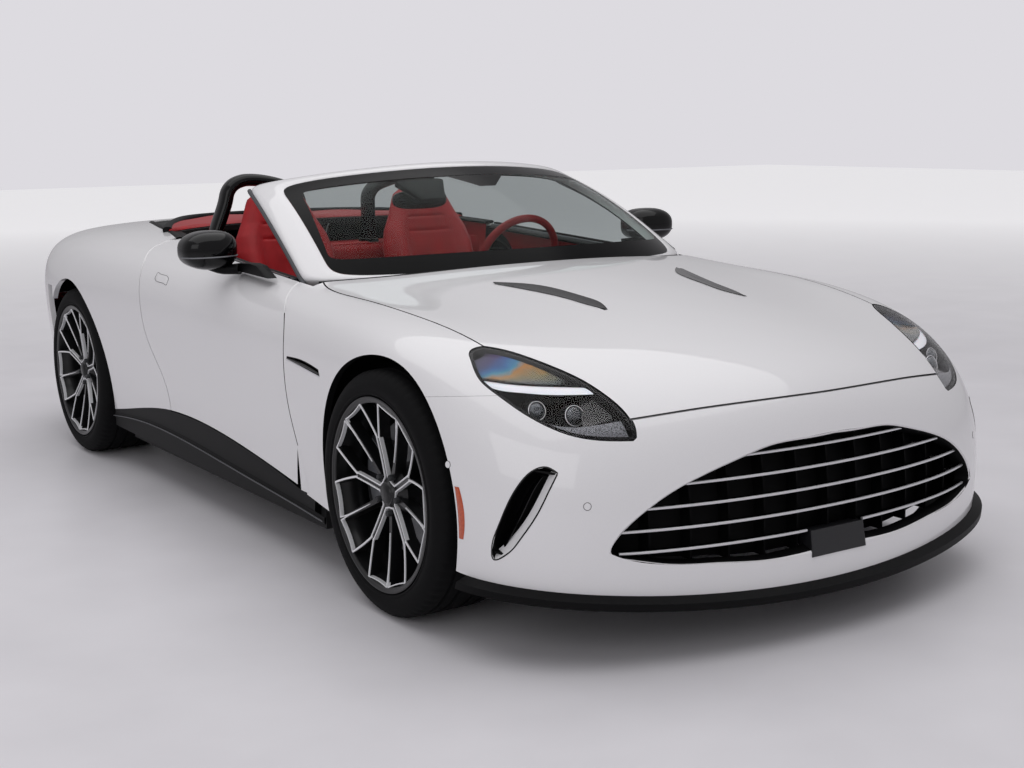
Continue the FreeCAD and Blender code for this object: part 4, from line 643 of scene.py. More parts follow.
SIDES = (-1, "R"), (1, "L")
vent_outer_shares = [(0.281, -0.175), (0.292, 0.005), (0.322, 0.062), (0.380, 0.098)]
vent_inner_shares = [(0.274, -0.175), (0.278, 0.005), (0.304, 0.070), (0.375, 0.104)]
strake_top_shares = [(0.228, 0.538), (0.185, 0.540), (0.140, 0.530)]
strake_low_shares = [(0.228, 0.531), (0.185, 0.523), (0.137, 0.514)]
satin_silver = material("satin anodised aluminium", "e2e2e5", 0.32, 0.8,
                        spots=(3, 0.28, 0.38, "dcdcdf", "e8e8eb"))
vent_rim_shares = [(0.274, -0.176), (0.292, -0.100), (0.304, -0.004), (0.334, 0.046), (0.384, 0.104)]
vent_back_shares = [(0.272, -0.178), (0.246, -0.090), (0.250, 0.000), (0.292, 0.074), (0.376, 0.112)]
for side, name in SIDES:
    rim, back = plan_run(vent_rim_shares, side, 60), plan_run(vent_back_shares, side, 60)
    middle = (rim[0] * 0.55 + back[0] * 0.45, rim[1] * 0.55 + back[1] * 0.45)
    tray = np.stack([rim[0] + rim[1] * 0.0004, rim[0] + rim[1] * 0.0022,
                     middle[0] + middle[1] * 0.0008, back[0] + back[1] * 0.0022,
                     back[0] + back[1] * 0.0004])
    piece("vent_bezel_" + name, [sheet(tray, black_gloss)], "bonnet_lid",
          flip=side < 0)
    first, second = plan_run(vent_outer_shares, side, 60), plan_run(vent_inner_shares, side, 60)
    floor_part = basin(first, second, 0.004, 0.017)
    blades = []
    for share in np.linspace(0.30, 0.92, 9):
        k = int(share * 59)
        start, end = first[0][k] - first[1][k] * 0.006, second[0][k - 2] - second[1][k - 2] * 0.006
        blades.append(carried(np.linspace(start, end, 3), [(-0.0012, -0.008), (0.0012, -0.008),
                                                           (0.0012, 0.002), (-0.0012, 0.002)]))
    piece("bonnet_vent_" + name, [(*floor_part, black_plastic), (*lip(first, second, 0.0016, 0.0004),
                                                                 black_gloss)] +
          [(*blade, black_plastic) for blade in blades], "bonnet_lid")
    first, second = side_run(strake_top_shares, side, 40), side_run(strake_low_shares, side, 40)
    blade_path = (first[0] * 0.42 + second[0] * 0.58) - first[1] * 0.001
    grow = 0.30 + 0.85 * np.sin(np.linspace(0.25, 2.75, 40)) ** 0.8
    parts = [(*basin(first, second, 0.003, 0.020), black_plastic),
             (*carried(blade_path, oval(0.0058, 0.0045, 12, 2.5), scale=grow), black_gloss),
             (*carried(second[0] + second[1] * 0.0004, oval(0.0016, 0.0022, 8)), satin_silver),
             (*lip(first, second, 0.0012, 0.0003), black_gloss)]
    piece("wing_strake_" + name, parts, "chassis")


# Grille: five curved vanes with satin silver leading edges in front of black plastic fins, a duct
# painted at its mouth and black behind it, and a plain cover over the distance sensor in the middle.
grille_top_shares = [(0, 0.445), (0.101, 0.4424), (0.232, 0.437), (0.303, 0.424), (0.434, 0.394),
                     (0.545, 0.358), (0.629, 0.314), (0.677, 0.276), (0.694, 0.246)]
grille_low_shares = [(0.694, 0.246), (0.646, 0.229), (0.548, 0.213), (0.417, 0.204),
                     (0.271, 0.193), (0.140, 0.191), (0, 0.191)]


def on_front(across, up, depth, start=-2.0):
    """Points behind the nose's surface, seen square from the front, at a depth."""
    point, normal = cast(spread(across, start, up), LENGTHWISE)
    return point - normal * np.asarray(depth)[..., None]


vane_parts = []
sensor_half = 0.106
for k in range(5):
    up = 0.298 + 0.0575 * k
    corner_up = grille_low_shares[0][1]
    edge = np.array((grille_top_shares if up / TALL > corner_up else grille_low_shares)[::-1])
    reach = HALF * float(np.interp(up / TALL, edge[:, 1], edge[:, 0])) - 0.005
    spans = [(-reach, reach)] if k > 0 else [(-reach, -sensor_half), (sensor_half, reach)]
    for low_x, high_x in spans:
        row = np.linspace(low_x, high_x, 90 if k > 0 else 45)
        front_line = on_front(row, up, 0.0175)
        back_line = on_front(row, up, 0.0310)
        vane_parts.append((*carried(front_line, oval(0.0040, 0.0040, 12, 2.6)), satin_silver))
        vane_parts.append((*carried(back_line, oval(0.0125, 0.0022, 10, 3.0)), black_gloss))
piece("grille_blades", vane_parts, "chassis", ["grille_vanes"])

ring = np.array([(a * HALF, b * TALL) for a, b in grille_top_shares[:-1] + grille_low_shares])
half_ring = smooth(np.concatenate([ring, np.zeros((len(ring), 1))], 1), 160)[:, :2]
full_ring = np.concatenate([half_ring, (half_ring * (-1, 1))[::-1][1:-1]])
centre_ring = np.array([0, 0.33])
wall = []
for depth, shrink in ((-0.0002, 0.0), (0.004, 0.0045), (0.014, 0.0075), (0.030, 0.011), (0.043, 0.014)):
    pull = (full_ring - centre_ring) / np.linalg.norm(full_ring - centre_ring, axis=1, keepdims=True)
    spot = full_ring - pull * shrink * (1 + 2.2 * np.clip(-pull[:, 1:], 0, 1) ** 2)
    wall.append(on_front(spot[:, 0], spot[:, 1], depth))
grille_black = material("black moulded shutter plastic", "050506", 0.65, Specular_IOR_Level=0.12,
                        spots=(3, 0.6, 0.7, "040405", "070708"))
finish(grille_black, "grille_fins")
piece("grille_duct", [sheet(wall[:2], white_paint, True),
                      sheet(wall[1:], grille_black, True)],
      "chassis", sharp=50, flip=False)

sensor_grey = material("smooth dark grey radar cover", "1c1c1f", 0.40,
                       spots=(3, 0.36, 0.46, "1a1a1d", "1f1f22"))


def slab(corners_front, corners_back, paint, inset=0.004):
    """Block between two four-cornered faces, its front edge bevelled by an inset."""
    front, back = np.asarray(corners_front, float), np.asarray(corners_back, float)
    middle = front.mean(0)
    small = middle + (front - middle) * (1 - inset / np.linalg.norm(front - middle, axis=1).mean())
    lift = (front.mean(0) - back.mean(0)) / np.linalg.norm(front.mean(0) - back.mean(0)) * inset * 0.5
    rings = np.stack([back, front - lift, small])
    return rings.reshape(-1, 3), grid(3, 4, closed_columns=True).tolist() + [[8, 9, 10, 11]], paint


def oblong(first, second):
    """Four corners between two level edges, each given as (half width, y, z)."""
    return [(-first[0], *first[1:]), first, second, (-second[0], *second[1:])]


front_y = float(on_front([0.0], [0.31], 0.0)[0, 1])
sensor = slab(oblong((0.102, front_y - 0.004, 0.226), (0.099, front_y + 0.008, 0.297)),
              oblong((0.092, front_y + 0.060, 0.232), (0.092, front_y + 0.060, 0.290)), sensor_grey)
piece("sensor_cover", [sensor], "chassis", sharp=20)

# Corner intakes: black moulded ducts clipped behind the blade-shaped openings, each with a bead
# round it and an upright slat inside.
intake_back_shares = [(0.791, 0.410), (0.812, 0.380), (0.844, 0.325), (0.876, 0.272), (0.901, 0.234)]
intake_out_shares = [(0.835, 0.416), (0.862, 0.394), (0.888, 0.354), (0.911, 0.290), (0.918, 0.238)]
intake_ring_shares = intake_back_shares + [(0.914, 0.224)] + intake_out_shares[::-1] + [(0.811, 0.4216)]
for side, name in SIDES:
    first = smooth([(a * HALF, b * TALL, 0) for a, b in intake_back_shares], 50)
    second = smooth([(a * HALF, b * TALL, 0) for a, b in intake_out_shares], 50)
    rows = []
    for share in np.linspace(-0.06, 1.06, 11):
        spot = first * (1 - share) + second * share
        sink = 0.010 + 0.050 * np.clip(1 - (2 * share - 1) ** 4, 0, 1)
        sink = sink * np.ones(50)
        sink[:2], sink[-2:] = 0.006, 0.006
        rows.append(on_front(side * spot[:, 0], spot[:, 1], sink))
    parts = [sheet(rows, black_plastic)]
    closed = smooth([(a * HALF, b * TALL, 0) for a, b in intake_ring_shares + intake_ring_shares[:1]],
                    161)[:-1]
    parts.append((*carried(on_front(side * closed[:, 0], closed[:, 1], 0.0010), oval(0.0022, 0.0022, 8),
                           closed=True), black_gloss))
    pull = closed.mean(0) - closed
    pull /= np.linalg.norm(pull, axis=1, keepdims=True)
    wall = [on_front(side * (closed + pull * shrink)[:, 0], (closed + pull * shrink)[:, 1], depth)
            for depth, shrink in ((0.0004, 0.0006), (0.006, 0.0022), (0.030, 0.0042), (0.062, 0.0062))]
    parts.append(sheet(wall, black_plastic, True))
    inner_edge = first * 0.42 + second * 0.58
    parts.append((*carried(on_front(side * inner_edge[3:-3, 0], inner_edge[3:-3, 1], 0.022),
                           oval(0.0030, 0.013, 10, 3.0), up=(side * 0.2, -1, 0.0),
                           scale=np.sin(np.linspace(0.35, 2.8, 44)) ** 0.5), black_gloss))
    piece("corner_intake_" + name, parts, "chassis")

# Parking sensors: moulded caps painted like the bumper, clipped into holes from behind, each in a
# fine ring of shadow.
def circle_about(axis, count):
    """Unit circle square to an axis, starting level."""
    level_way = np.cross(axis, UPWARDS)
    level_way /= np.linalg.norm(level_way)
    turn = full_turn(count)[:, None]
    return level_way * np.cos(turn) + np.cross(level_way, axis) * np.sin(turn)


for k, (x, y, z) in enumerate([(-0.732, -2.056, 0.430), (0.732, -2.056, 0.430),
                               (-0.949, -1.738, 0.509), (0.949, -1.738, 0.509)]):
    spot, normal = nearest([(x, y, z)])
    circle = circle_about(normal[0], 24)
    face = [spot[0] + normal[0] * lift + circle * radius for radius, lift in
            ((0.0105, 0.0001), (0.0092, 0.0007), (0.0092, 0.0004), (0.0085, 0.0012), (0.0001, 0.0016))]
    black_ring = sheet(face[:3], black_plastic, True)
    cap = sheet(face[2:], white_paint, True)
    piece("parking_sensor_%d" % k, [black_ring, cap], "chassis")

# Side markers: moulded orange acrylic lenses, clipped into the skin just in front of each front
# wheel arch.
orange_lens = material("orange acrylic lens", "b84516", 0.12, Coat_Weight=0.8, Subsurface_Weight=0.1,
                       spots=(6, 0.10, 0.16, "ae3f14", "c44e1c"))
arch_radius = 0.3985
for side, name in SIDES:
    row = np.linspace(0, 1, 24)
    z = 0.318 + 0.138 * row
    back = NOSE_AXLE - np.sqrt(arch_radius ** 2 - (z - HUB_Z) ** 2) - 0.004
    front = back - 0.017 - 0.007 * np.sin(np.pi * row)
    rows = []
    for share in np.linspace(0, 1, 7):
        y = back * (1 - share) + front * share
        point, normal = cast(spread(side * 0.93, y, z), ACROSS)
        lift = 0.0025 * np.sin(np.pi * share) ** 0.5 * np.sin(np.pi * np.clip(row, 0.01, 0.99)) ** 0.3
        rows.append(point + normal * (0.0002 + lift)[:, None])
    piece("side_marker_" + name, [sheet(rows, orange_lens)], "chassis",
          flip=side > 0)

# Headlamps: a clear moulded lens over a black housing with two projector lamps, a white light bar
# straight across the middle and a ribbed strip along the lower edge; clipped into the wing.
lamp_lens = material("clear polycarbonate lens", "ffffff", 0.0, Transmission_Weight=1.0, IOR=1.03,
                     Coat_Weight=0.18, Coat_IOR=1.45, Coat_Roughness=0.01)
for name in ("headlamp_lens_R", "headlamp_lens_L"):
    panel(name, lamp_lens)

# Vacuum-coated reflector: dark chrome whose thin coating breaks light into faint colours
coated = material("thin-film coated reflector", "5c5f66", 0.24, 0.9, Thin_Film_Thickness=420.0,
                  Thin_Film_IOR=1.8)
where = add(coated, "ShaderNodeTexCoord")
bend = add(coated, "ShaderNodeTexNoise", Vector=where.outputs["Object"], Scale=11.0, Detail=3.0)
place = add(coated, "ShaderNodeSeparateXYZ", Vector=where.outputs["Object"])
reach = add(coated, "ShaderNodeMapRange", Value=place.outputs["Y"], From_Min=float(along(-0.28)),
            From_Max=float(along(-0.61)), To_Min=-0.25, To_Max=0.75)
streak = add(coated, "ShaderNodeMath", operation="MULTIPLY_ADD")
streak.inputs[1].default_value = 0.55
coated.node_tree.links.new(bend.outputs["Fac"], streak.inputs[0])
coated.node_tree.links.new(reach.outputs["Result"], streak.inputs[2])
film = add(coated, "ShaderNodeMapRange", Value=bend.outputs["Fac"], To_Min=360.0, To_Max=520.0)
tint = add(coated, "ShaderNodeValToRGB", Fac=streak.outputs["Value"])
for position, code in ((0.16, "292148"), (0.28, "174472"), (0.36, "216075"), (0.45, "805620"),
                       (0.56, "5d553f"), (0.68, "3a3c40"), (0.82, "1d1f22")):
    stop = tint.color_ramp.elements.new(position)
    stop.color = linear(code)
tint.color_ramp.elements[0].color = linear("241c34")
tint.color_ramp.elements[-1].color = linear("191a1d")
into(coated, "Thin Film Thickness", film.outputs["Result"])
into(coated, "Base Color", tint.outputs["Color"])

# Frosted white acrylic of the light bar, unlit
frosted = material("frosted white acrylic", "e4e4ea", 0.35, Coat_Weight=0.6, Subsurface_Weight=0.2,
                   spots=(2, 0.30, 0.42, "dcdce3", "ececf1"))

# Ribbed optic of the lower strip, fine bright ridges 3 mm apart
ribbed = material("ribbed bright optic", "5a5c60", 0.28, 0.7)
where = add(ribbed, "ShaderNodeTexCoord")
ridges = add(ribbed, "ShaderNodeTexVoronoi", Vector=where.outputs["Object"], Scale=1000 / 3.5)
tint = add(ribbed, "ShaderNodeValToRGB", Fac=ridges.outputs["Distance"])
tint.color_ramp.elements[0].color, tint.color_ramp.elements[1].color = linear("808186"), linear("141517")
into(ribbed, "Base Color", tint.outputs["Color"])
relief(ribbed, ridges.outputs["Distance"], 0.6, 0.5)

# Optical glass of the projector lamps
optic = material("ground optical glass", "2a2d31", 0.03, 0.5, Coat_Weight=0.6,
                 spots=(25, 0.02, 0.05, "101215", "54595e"))

lamp_inner_shares = [(0.583, -0.779), (0.588, -0.729), (0.605, -0.658), (0.624, -0.586),
                     (0.646, -0.519), (0.679, -0.428), (0.724, -0.321), (0.755, -0.275)]
lamp_outer_shares = [(0.601, -0.794), (0.671, -0.754), (0.743, -0.693), (0.784, -0.636),
                     (0.821, -0.556), (0.841, -0.486), (0.852, -0.407), (0.820, -0.300)]
bar_top_shares = [(0.849, -0.400), (0.815, -0.448), (0.776, -0.493), (0.705, -0.552), (0.618, -0.612)]
bar_low_shares = [(0.848, -0.430), (0.826, -0.472), (0.789, -0.516), (0.742, -0.561), (0.612, -0.645)]
strip_top_shares = [(0.803, -0.592), (0.781, -0.627), (0.734, -0.678), (0.680, -0.712), (0.606, -0.745)]
strip_low_shares = [(0.806, -0.600), (0.784, -0.634), (0.742, -0.690), (0.672, -0.748), (0.606, -0.784)]


def level(run, share_from, share_to, count):
    """Part of a run between two shares of its length, evenly spaced again."""
    pick = np.interp(np.linspace(share_from, share_to, count), np.linspace(0, 1, len(run[0])),
                     np.arange(len(run[0])))
    k = np.clip(pick.astype(int), 0, len(run[0]) - 2)
    t = (pick - k)[:, None]
    return run[0][k] * (1 - t) + run[0][k + 1] * t, run[1][k] * (1 - t) + run[1][k + 1] * t


for side, name in SIDES:
    inner_run, outer_run = plan_run(lamp_inner_shares, side, 60), plan_run(lamp_outer_shares, side, 60)
    bar_top, bar_low = plan_run(bar_top_shares, side, 40), plan_run(bar_low_shares, side, 40)
    strip_top, strip_low = plan_run(strip_top_shares, side, 40), plan_run(strip_low_shares, side, 40)
    upper_edge = level(inner_run, 0.36, 0.985, 40)
    upper_edge = (upper_edge[0][::-1], upper_edge[1][::-1])
    whole = basin(inner_run, outer_run, 0.036, 0.050, 9)
    tail = level((outer_run[0][::-1], outer_run[1][::-1]), 0.015, 0.13, 12)
    lower_edge = level(tuple(np.concatenate([a, b]) for a, b in zip(tail, bar_top)), 0, 1, 40)
    upper_parts = basin(upper_edge, lower_edge, 0.006, 0.018, 13)
    bar_part = basin(bar_top, bar_low, 0.0105, 0.0085, 7)
    bar_skirt = basin(bar_low, (bar_low[0] - bar_low[1] * 0.030, bar_low[1]), 0.0105, 0.0105, 3)
    strip_part = basin(strip_top, strip_low, 0.0090, 0.0078, 7)
    strip_skirt = basin(strip_top, (strip_top[0] - strip_top[1] * 0.026, strip_top[1]), 0.009, 0.009, 3)
    parts = [(*whole, black_gloss), (*upper_parts, coated), (*bar_part, frosted),
             (*bar_skirt, black_gloss), (*strip_part, ribbed), (*strip_skirt, black_gloss)]
    fans = level(inner_run, 0.02, 0.40, 30)
    fan_end = level((strip_top[0][::-1], strip_top[1][::-1]), 0.0, 0.42, 30)
    parts.append((*basin(fans, fan_end, 0.0120, 0.024, 9), black_gloss))
    for run, wide in ((inner_run, 0.0042), (outer_run, 0.0052)):
        middle = (inner_run[0] + outer_run[0]) / 2
        pull = middle - run[0]
        pull /= np.linalg.norm(pull, axis=1, keepdims=True)
        swell = 1 + 1.6 * np.exp(-(np.linspace(0, 1, 60) / 0.16) ** 2)
        edge = run[0] + pull * (wide * swell)[:, None]
        parts.append((*basin(run, (edge, run[1]), 0.0055, 0.0055, 3), black_gloss))
    for (x, y), radius in (((0.766, -1.880), 0.0225), ((0.690, -1.945), 0.0245)):
        spot, normal = cast([(side * x, y, 0.66)], UPWARDS)
        middle = spot[0] - normal[0] * 0.034
        look = np.array([side * 0.10, -0.93, 0.30])
        look /= np.linalg.norm(look)
        circle = circle_about(look, 36)
        dome = [middle + circle * radius * np.cos(a) + look * radius * 0.62 * np.sin(a)
                for a in np.linspace(0.0, 1.565, 9)]
        parts.append(sheet(dome, optic, True))
        collar = [middle + circle * radius * wide + look * lift for wide, lift in
                  ((1.0, 0.001), (1.06, 0.004), (1.16, 0.003), (1.20, -0.004), (1.24, -0.030))]
        parts.append(sheet(collar, black_plastic, True))
        ring_part = carried(middle + circle * radius * 1.10 + look * 0.004, oval(0.0011, 0.0011, 6),
                            closed=True)
        parts.append((*ring_part, satin_silver))
    piece("headlamp_inside_" + name, parts, "chassis", flip=side > 0)

# Wheels and tyres. Forged aluminium wheels with five forked and five plain spokes, painted satin
# black, their edges cut bright on a lathe; low tyres with four grooves round the tread. Each is a
# set of bars carried along paths in polar coordinates, and profiles turned about the hub.
TYRE_RADIUS, RIM_RADIUS, TYRE_OUT = 0.355, 0.268, 0.972

# Tyre rubber: moulded black compound with carbon, dull with a slight bloom
tyre_rubber = material("moulded tyre rubber", "0a0a0b", 0.76, Specular_IOR_Level=0.15,
                       spots=(9, 0.70, 0.84, "08080a", "0e0e0f"), bumps=(0.2, 0.3))

# Satin black powder coat on the wheel, and its faces turned bright on a lathe and lacquered
wheel_black = material("satin black powder coat", "08080a", 0.34, Coat_Weight=0.3, Coat_Roughness=0.15,
                       Specular_IOR_Level=0.3, spots=(3, 0.30, 0.40, "060607", "0b0b0d"))
# The same bright finish also draws a painted highlight of the lit lip along the rim
machined = material("diamond-turned aluminium", "f0f0f2", 0.34, 0.4,
                    spots=(2, 0.30, 0.40, "eaebed", "f4f4f6"))

# Grey iron of the brake disc, ground in fine rings, and the caliper's grey lacquer
disc_iron = material("ground grey iron", "a5a6a9", 0.36, 0.6, spots=(5, 0.30, 0.44, "98999c", "b0b1b4"))
caliper_grey = material("grey caliper lacquer", "8b8d92", 0.35, 0.3, Coat_Weight=0.6,
                        spots=(8, 0.32, 0.40, "86888d", "909297"))


def turned(profile, count):
    """Profile of (radius, depth) pairs carried round a full turn: (depth, radius sin, radius cos)."""
    profile = np.asarray(profile, float)
    turn = full_turn(count)[:, None]
    points = np.stack([np.broadcast_to(profile[:, 1], (count, len(profile))),
                       profile[:, 0] * np.sin(turn), profile[:, 0] * np.cos(turn)], -1)
    return points, grid(count, len(profile), closed_rows=True)


def dish(radius):
    """Depth of the spokes' face behind the tyre's outer side: shallow at the rim, deep at the hub."""
    share = np.clip(radius / RIM_RADIUS, 0, 1)
    return 0.008 + 0.036 * (1 - share ** 1.6)


def bar(path, width, top_width, lift, deep):
    """Bar with a flat top and sloping sides along a path of (radius, angle) pairs.

    Four points stand across the path at each station: two at the top, lift in front of the dish,
    and two at the foot, deep behind it; the ends are closed."""
    radius, angle = path[:, 0], path[:, 1]
    flat = np.stack([radius * np.sin(angle), radius * np.cos(angle)], -1)
    way = np.gradient(flat, axis=0)
    way /= np.linalg.norm(way, axis=1, keepdims=True)
    side = np.stack([way[:, 1], -way[:, 0]], -1)
    face = dish(radius)
    width, top_width = np.broadcast_to(width, radius.shape), np.broadcast_to(top_width, radius.shape)
    rows = []
    for half, depth in ((-width / 2, face + deep), (-top_width / 2, face - lift),
                        (top_width / 2, face - lift), (width / 2, face + deep)):
        spot = flat + side * half[:, None]
        rows.append(np.concatenate([depth[:, None], spot], 1))
    points = np.stack(rows, 1)
    count = len(radius)
    faces = grid(count, 4, closed_columns=True).tolist()
    faces += [[3, 2, 1, 0], [4 * (count - 1) + k for k in range(4)]]
    return points, faces


def polar(start, end, count=9, bow=0.0):
    """Path from one (radius, degrees) to another, straight in the plane, bowed sideways at will."""
    ends = [np.array([r * math.sin(math.radians(a)), r * math.cos(math.radians(a))])
            for r, a in (start, end)]
    t = np.linspace(0, 1, count)[:, None]
    across = np.array([ends[1][1] - ends[0][1], ends[0][0] - ends[1][0]])
    spots = ends[0] * (1 - t) + ends[1] * t + across * bow * 4 * t * (1 - t)
    return np.stack([np.hypot(spots[:, 0], spots[:, 1]), np.arctan2(spots[:, 0], spots[:, 1])], 1)


def rounded_tread(breadth, round_count=288):
    """Tyre profile turned about the hub, with cross cuts that press the shoulders in.

    The radius at each turn is the profile's, less a cut depth times a narrow bell in the angle."""
    w, r = breadth, TYRE_RADIUS
    half = [(0.2745, 0.0135), (0.2815, 0.0128), (0.2835, 0.0090), (0.2860, 0.0045), (0.2900, 0.0025),
            (0.2935, 0.0040), (0.2960, 0.0035), (0.3050, 0.0015), (0.3150, 0.0020), (0.3250, 0.0050),
            (0.3330, 0.0090), (0.3400, 0.0140), (0.3462, 0.0200), (0.3510, 0.0270), (0.3530, 0.0330)]
    tread = []
    for share in (0.24, 0.39, 0.61, 0.76):
        middle = share * w
        tread += [(r, middle - 0.0062), (r - 0.0065, middle - 0.0045), (r - 0.0065, middle + 0.0045),
                  (r, middle + 0.0062)]
    tread = [(r - 0.0006, 0.042)] + tread + [(r - 0.0006, w - 0.042)]
    profile = half + tread + [(a, w - b) for a, b in half[::-1]]
    profile = np.array(profile)
    turn = full_turn(round_count)[:, None]
    cuts = 72
    bell = np.clip(np.cos(turn * cuts) * 3 - 1.6, 0, 1)
    edge = np.minimum(profile[:, 1], w - profile[:, 1])
    zone = np.exp(-((edge - 0.030) / 0.011) ** 2) * (profile[:, 0] > 0.338)
    radius = profile[:, 0] - 0.0035 * bell * zone
    points = np.stack([np.broadcast_to(profile[:, 1], radius.shape), radius * np.sin(turn),
                       radius * np.cos(turn)], -1)
    return points, grid(round_count, len(profile), closed_rows=True)


def spoke_parts():
    """All bars of one wheel, each as points in (depth, back, up) round the hub."""
    rim = RIM_RADIUS * 0.985
    parts = []
    for k in range(5):
        mid = 72.0 * k
        stem = polar((0.030, mid), (0.168, mid), 9)
        grow = np.linspace(0, 1, 9)
        parts.append((*bar(stem, 0.030 - 0.008 * grow, 0.019 - 0.001 * grow, -0.0015, 0.034), wheel_black))
        for side in (-1, 1):
            edge = np.array([(r, math.radians(mid) + side * math.asin(0.0078 / r))
                             for r in np.linspace(0.046, 0.165, 12)])
            parts.append((*bar(edge, 0.0062, 0.0038, 0.0018, 0.010), machined))
            root = polar((0.047, mid + side * 10.2), (0.040, mid + side * 36), 5)
            parts.append((*bar(root, 0.0072, 0.0042, 0.0018, 0.012), machined))
            branch = polar((0.160, mid + side * 1.6), (rim, mid + side * 12), 10, side * -0.02)
            parts.append((*bar(branch, 0.0150, 0.0085, -0.0010, 0.034), wheel_black))
            parts.append((*bar(branch, 0.0080, 0.0052, 0.0018, 0.006), machined))
            # Thin bright line along the rim from the fork's tip: a painted highlight of the lit lip
            lip_highlight = polar((rim, mid + side * 12), (rim, mid + side * 35.2), 9, side * 0.028)
            parts.append((*bar(lip_highlight, 0.0046, 0.0030, 0.0018, 0.010), machined))
            split = polar((rim, mid + 36 + side * 1.0), (0.228, mid + 36 + side * 0.25), 6)
            parts.append((*bar(split, 0.0050, 0.0032, 0.0018, 0.006), machined))
        single = polar((0.036, mid + 36), (rim, mid + 36), 12)
        parts.append((*bar(single, np.linspace(0.026, 0.017, 12), np.linspace(0.016, 0.010, 12),
                           -0.0015, 0.034), wheel_black))
        line = polar((0.112, mid + 36), (0.232, mid + 36), 10)
        parts.append((*bar(line, np.linspace(0.0030, 0.0072, 10), np.linspace(0.0014, 0.0050, 10),
                           0.0016, 0.004), machined))
        nut = turned([(0.0001, 0.030), (0.0075, 0.030), (0.0090, 0.033), (0.0090, 0.060)], 12)
        spot = math.radians(mid + 36)
        seat = nut[0] + np.array([0.0, 0.030 * math.sin(spot), 0.030 * math.cos(spot)]) * 1.9
        parts.append((seat, nut[1], cast_steel))
    return parts


hub_profile = [(0.0001, 0.026), (0.016, 0.0268), (0.026, 0.0300), (0.030, 0.0350), (0.0335, 0.0352),
               (0.036, 0.0400), (0.050, 0.0480), (0.070, 0.0540), (0.079, 0.0620), (0.081, 0.1160)]
disc_profile = [(0.081, 0.1175), (0.120, 0.1175), (0.198, 0.1170), (0.203, 0.1190), (0.203, 0.1300),
                (0.198, 0.1302), (0.198, 0.1378), (0.203, 0.1380), (0.203, 0.1490), (0.198, 0.1510),
                (0.072, 0.1510), (0.034, 0.1505), (0.034, 0.0700), (0.0001, 0.0600)]


def barrel_profile(breadth):
    return [(0.2730, 0.0130), (0.2790, 0.0110), (0.2810, 0.0085), (0.2800, 0.0055), (0.2765, 0.0048),
            (0.2720, 0.0065), (0.2690, 0.0075), (0.2655, 0.0080), (0.2625, 0.0110), (0.2600, 0.0350),
            (0.2560, 0.0420), (0.2500, 0.0800), (0.2480, 0.1500), (0.2540, breadth - 0.040),
            (0.2600, breadth - 0.014), (0.2700, breadth - 0.010), (0.2800, breadth - 0.009),
            (0.2800, breadth - 0.0135), (0.2730, breadth - 0.0140)]


WHEEL_TURN = {"FR": 9.0, "FL": -20.0, "RR": -4.6, "RL": 28.0}
WHEEL_BODY = {"FR": "wheel_front_right", "FL": "wheel_front_left", "RR": "wheel_rear_right",
              "RL": "wheel_rear_left"}
for name, turn_by in WHEEL_TURN.items():
    side = -1 if name[1] == "R" else 1
    breadth = 0.275 if name[0] == "F" else 0.325
    hub_y = float(NOSE_AXLE if name[0] == "F" else TAIL_AXLE)
    lean = math.radians(turn_by)

    def lay(points):
        """From depth, back and up round the hub to the car's own frame."""
        points = np.asarray(points, float).reshape(-1, 3)
        back = points[:, 1] * math.cos(lean) + points[:, 2] * math.sin(lean)
        up = -points[:, 1] * math.sin(lean) + points[:, 2] * math.cos(lean)
        return np.stack([side * (TYRE_OUT - points[:, 0]), hub_y + back, HUB_Z + up], 1)

    tread = rounded_tread(breadth)
    piece("tyre_rubber_" + name, [(lay(tread[0]), tread[1], tyre_rubber)], WHEEL_BODY[name],
          ["tyre_" + name], flip=side > 0)
    barrel = turned(barrel_profile(breadth), 144)
    hub = turned(hub_profile, 72)
    parts = [(lay(barrel[0]), barrel[1], wheel_black), (lay(hub[0]), hub[1], wheel_black)]
    parts += [(lay(p), f, m) for p, f, m in spoke_parts()]
    piece("wheel_rim_" + name, parts, WHEEL_BODY[name], ["wheel_" + name],
          flip=side > 0)
    disc = turned(disc_profile, 96)
    piece("brake_disc_" + name, [(lay(disc[0]), disc[1], disc_iron)], WHEEL_BODY[name],
          flip=side > 0)

# Brake calipers: forged blocks with two bridges and six pistons, lacquered grey, bolted to the
# knuckles at the front and to the fixed uprights at the back
for name, body in (("FR", "knuckle_right"), ("FL", "knuckle_left"), ("RR", "chassis"),
                   ("RL", "chassis")):
    side = -1 if name[1] == "R" else 1
    hub_y = float(NOSE_AXLE if name[0] == "F" else TAIL_AXLE)
    behind = 1 if name[0] == "F" else -1
    turn = np.radians(np.linspace(62, 118, 30))
    parts = []
    for near, far in ((0.8005, 0.8170), (0.8590, 0.8755)):
        rows = []
        for radius, x in ((0.128, near), (0.134, near - 0.002), (0.214, near - 0.002), (0.224, near + 0.003),
                          (0.224, far - 0.003), (0.214, far + 0.002), (0.134, far + 0.002),
                          (0.128, far)):
            bulge = 1 + 0.012 * np.cos((turn - np.pi / 2) * 6)
            rows.append(spread(side * x, hub_y + behind * radius * bulge * np.sin(turn),
                               HUB_Z + radius * bulge * np.cos(turn) + 0.022))
        faces = grid(8, 30, closed_rows=True).tolist()
        faces += [[k * 30 for k in range(8)], [k * 30 + 29 for k in range(8)][::-1]]
        parts.append((np.stack(rows), faces, caliper_grey))
    for degrees in (70, 90, 110):
        a = math.radians(degrees)
        bridge = [(side * x, hub_y + behind * 0.2185 * math.sin(a),
                   HUB_Z + 0.2185 * math.cos(a) + 0.022) for x in np.linspace(0.806, 0.870, 6)]
        parts.append((*carried(bridge, oval(0.0115, 0.0055, 12, 3.0),
                               up=(0, behind * math.sin(a), math.cos(a))), caliper_grey))
    piece("brake_caliper_" + name, parts, body)
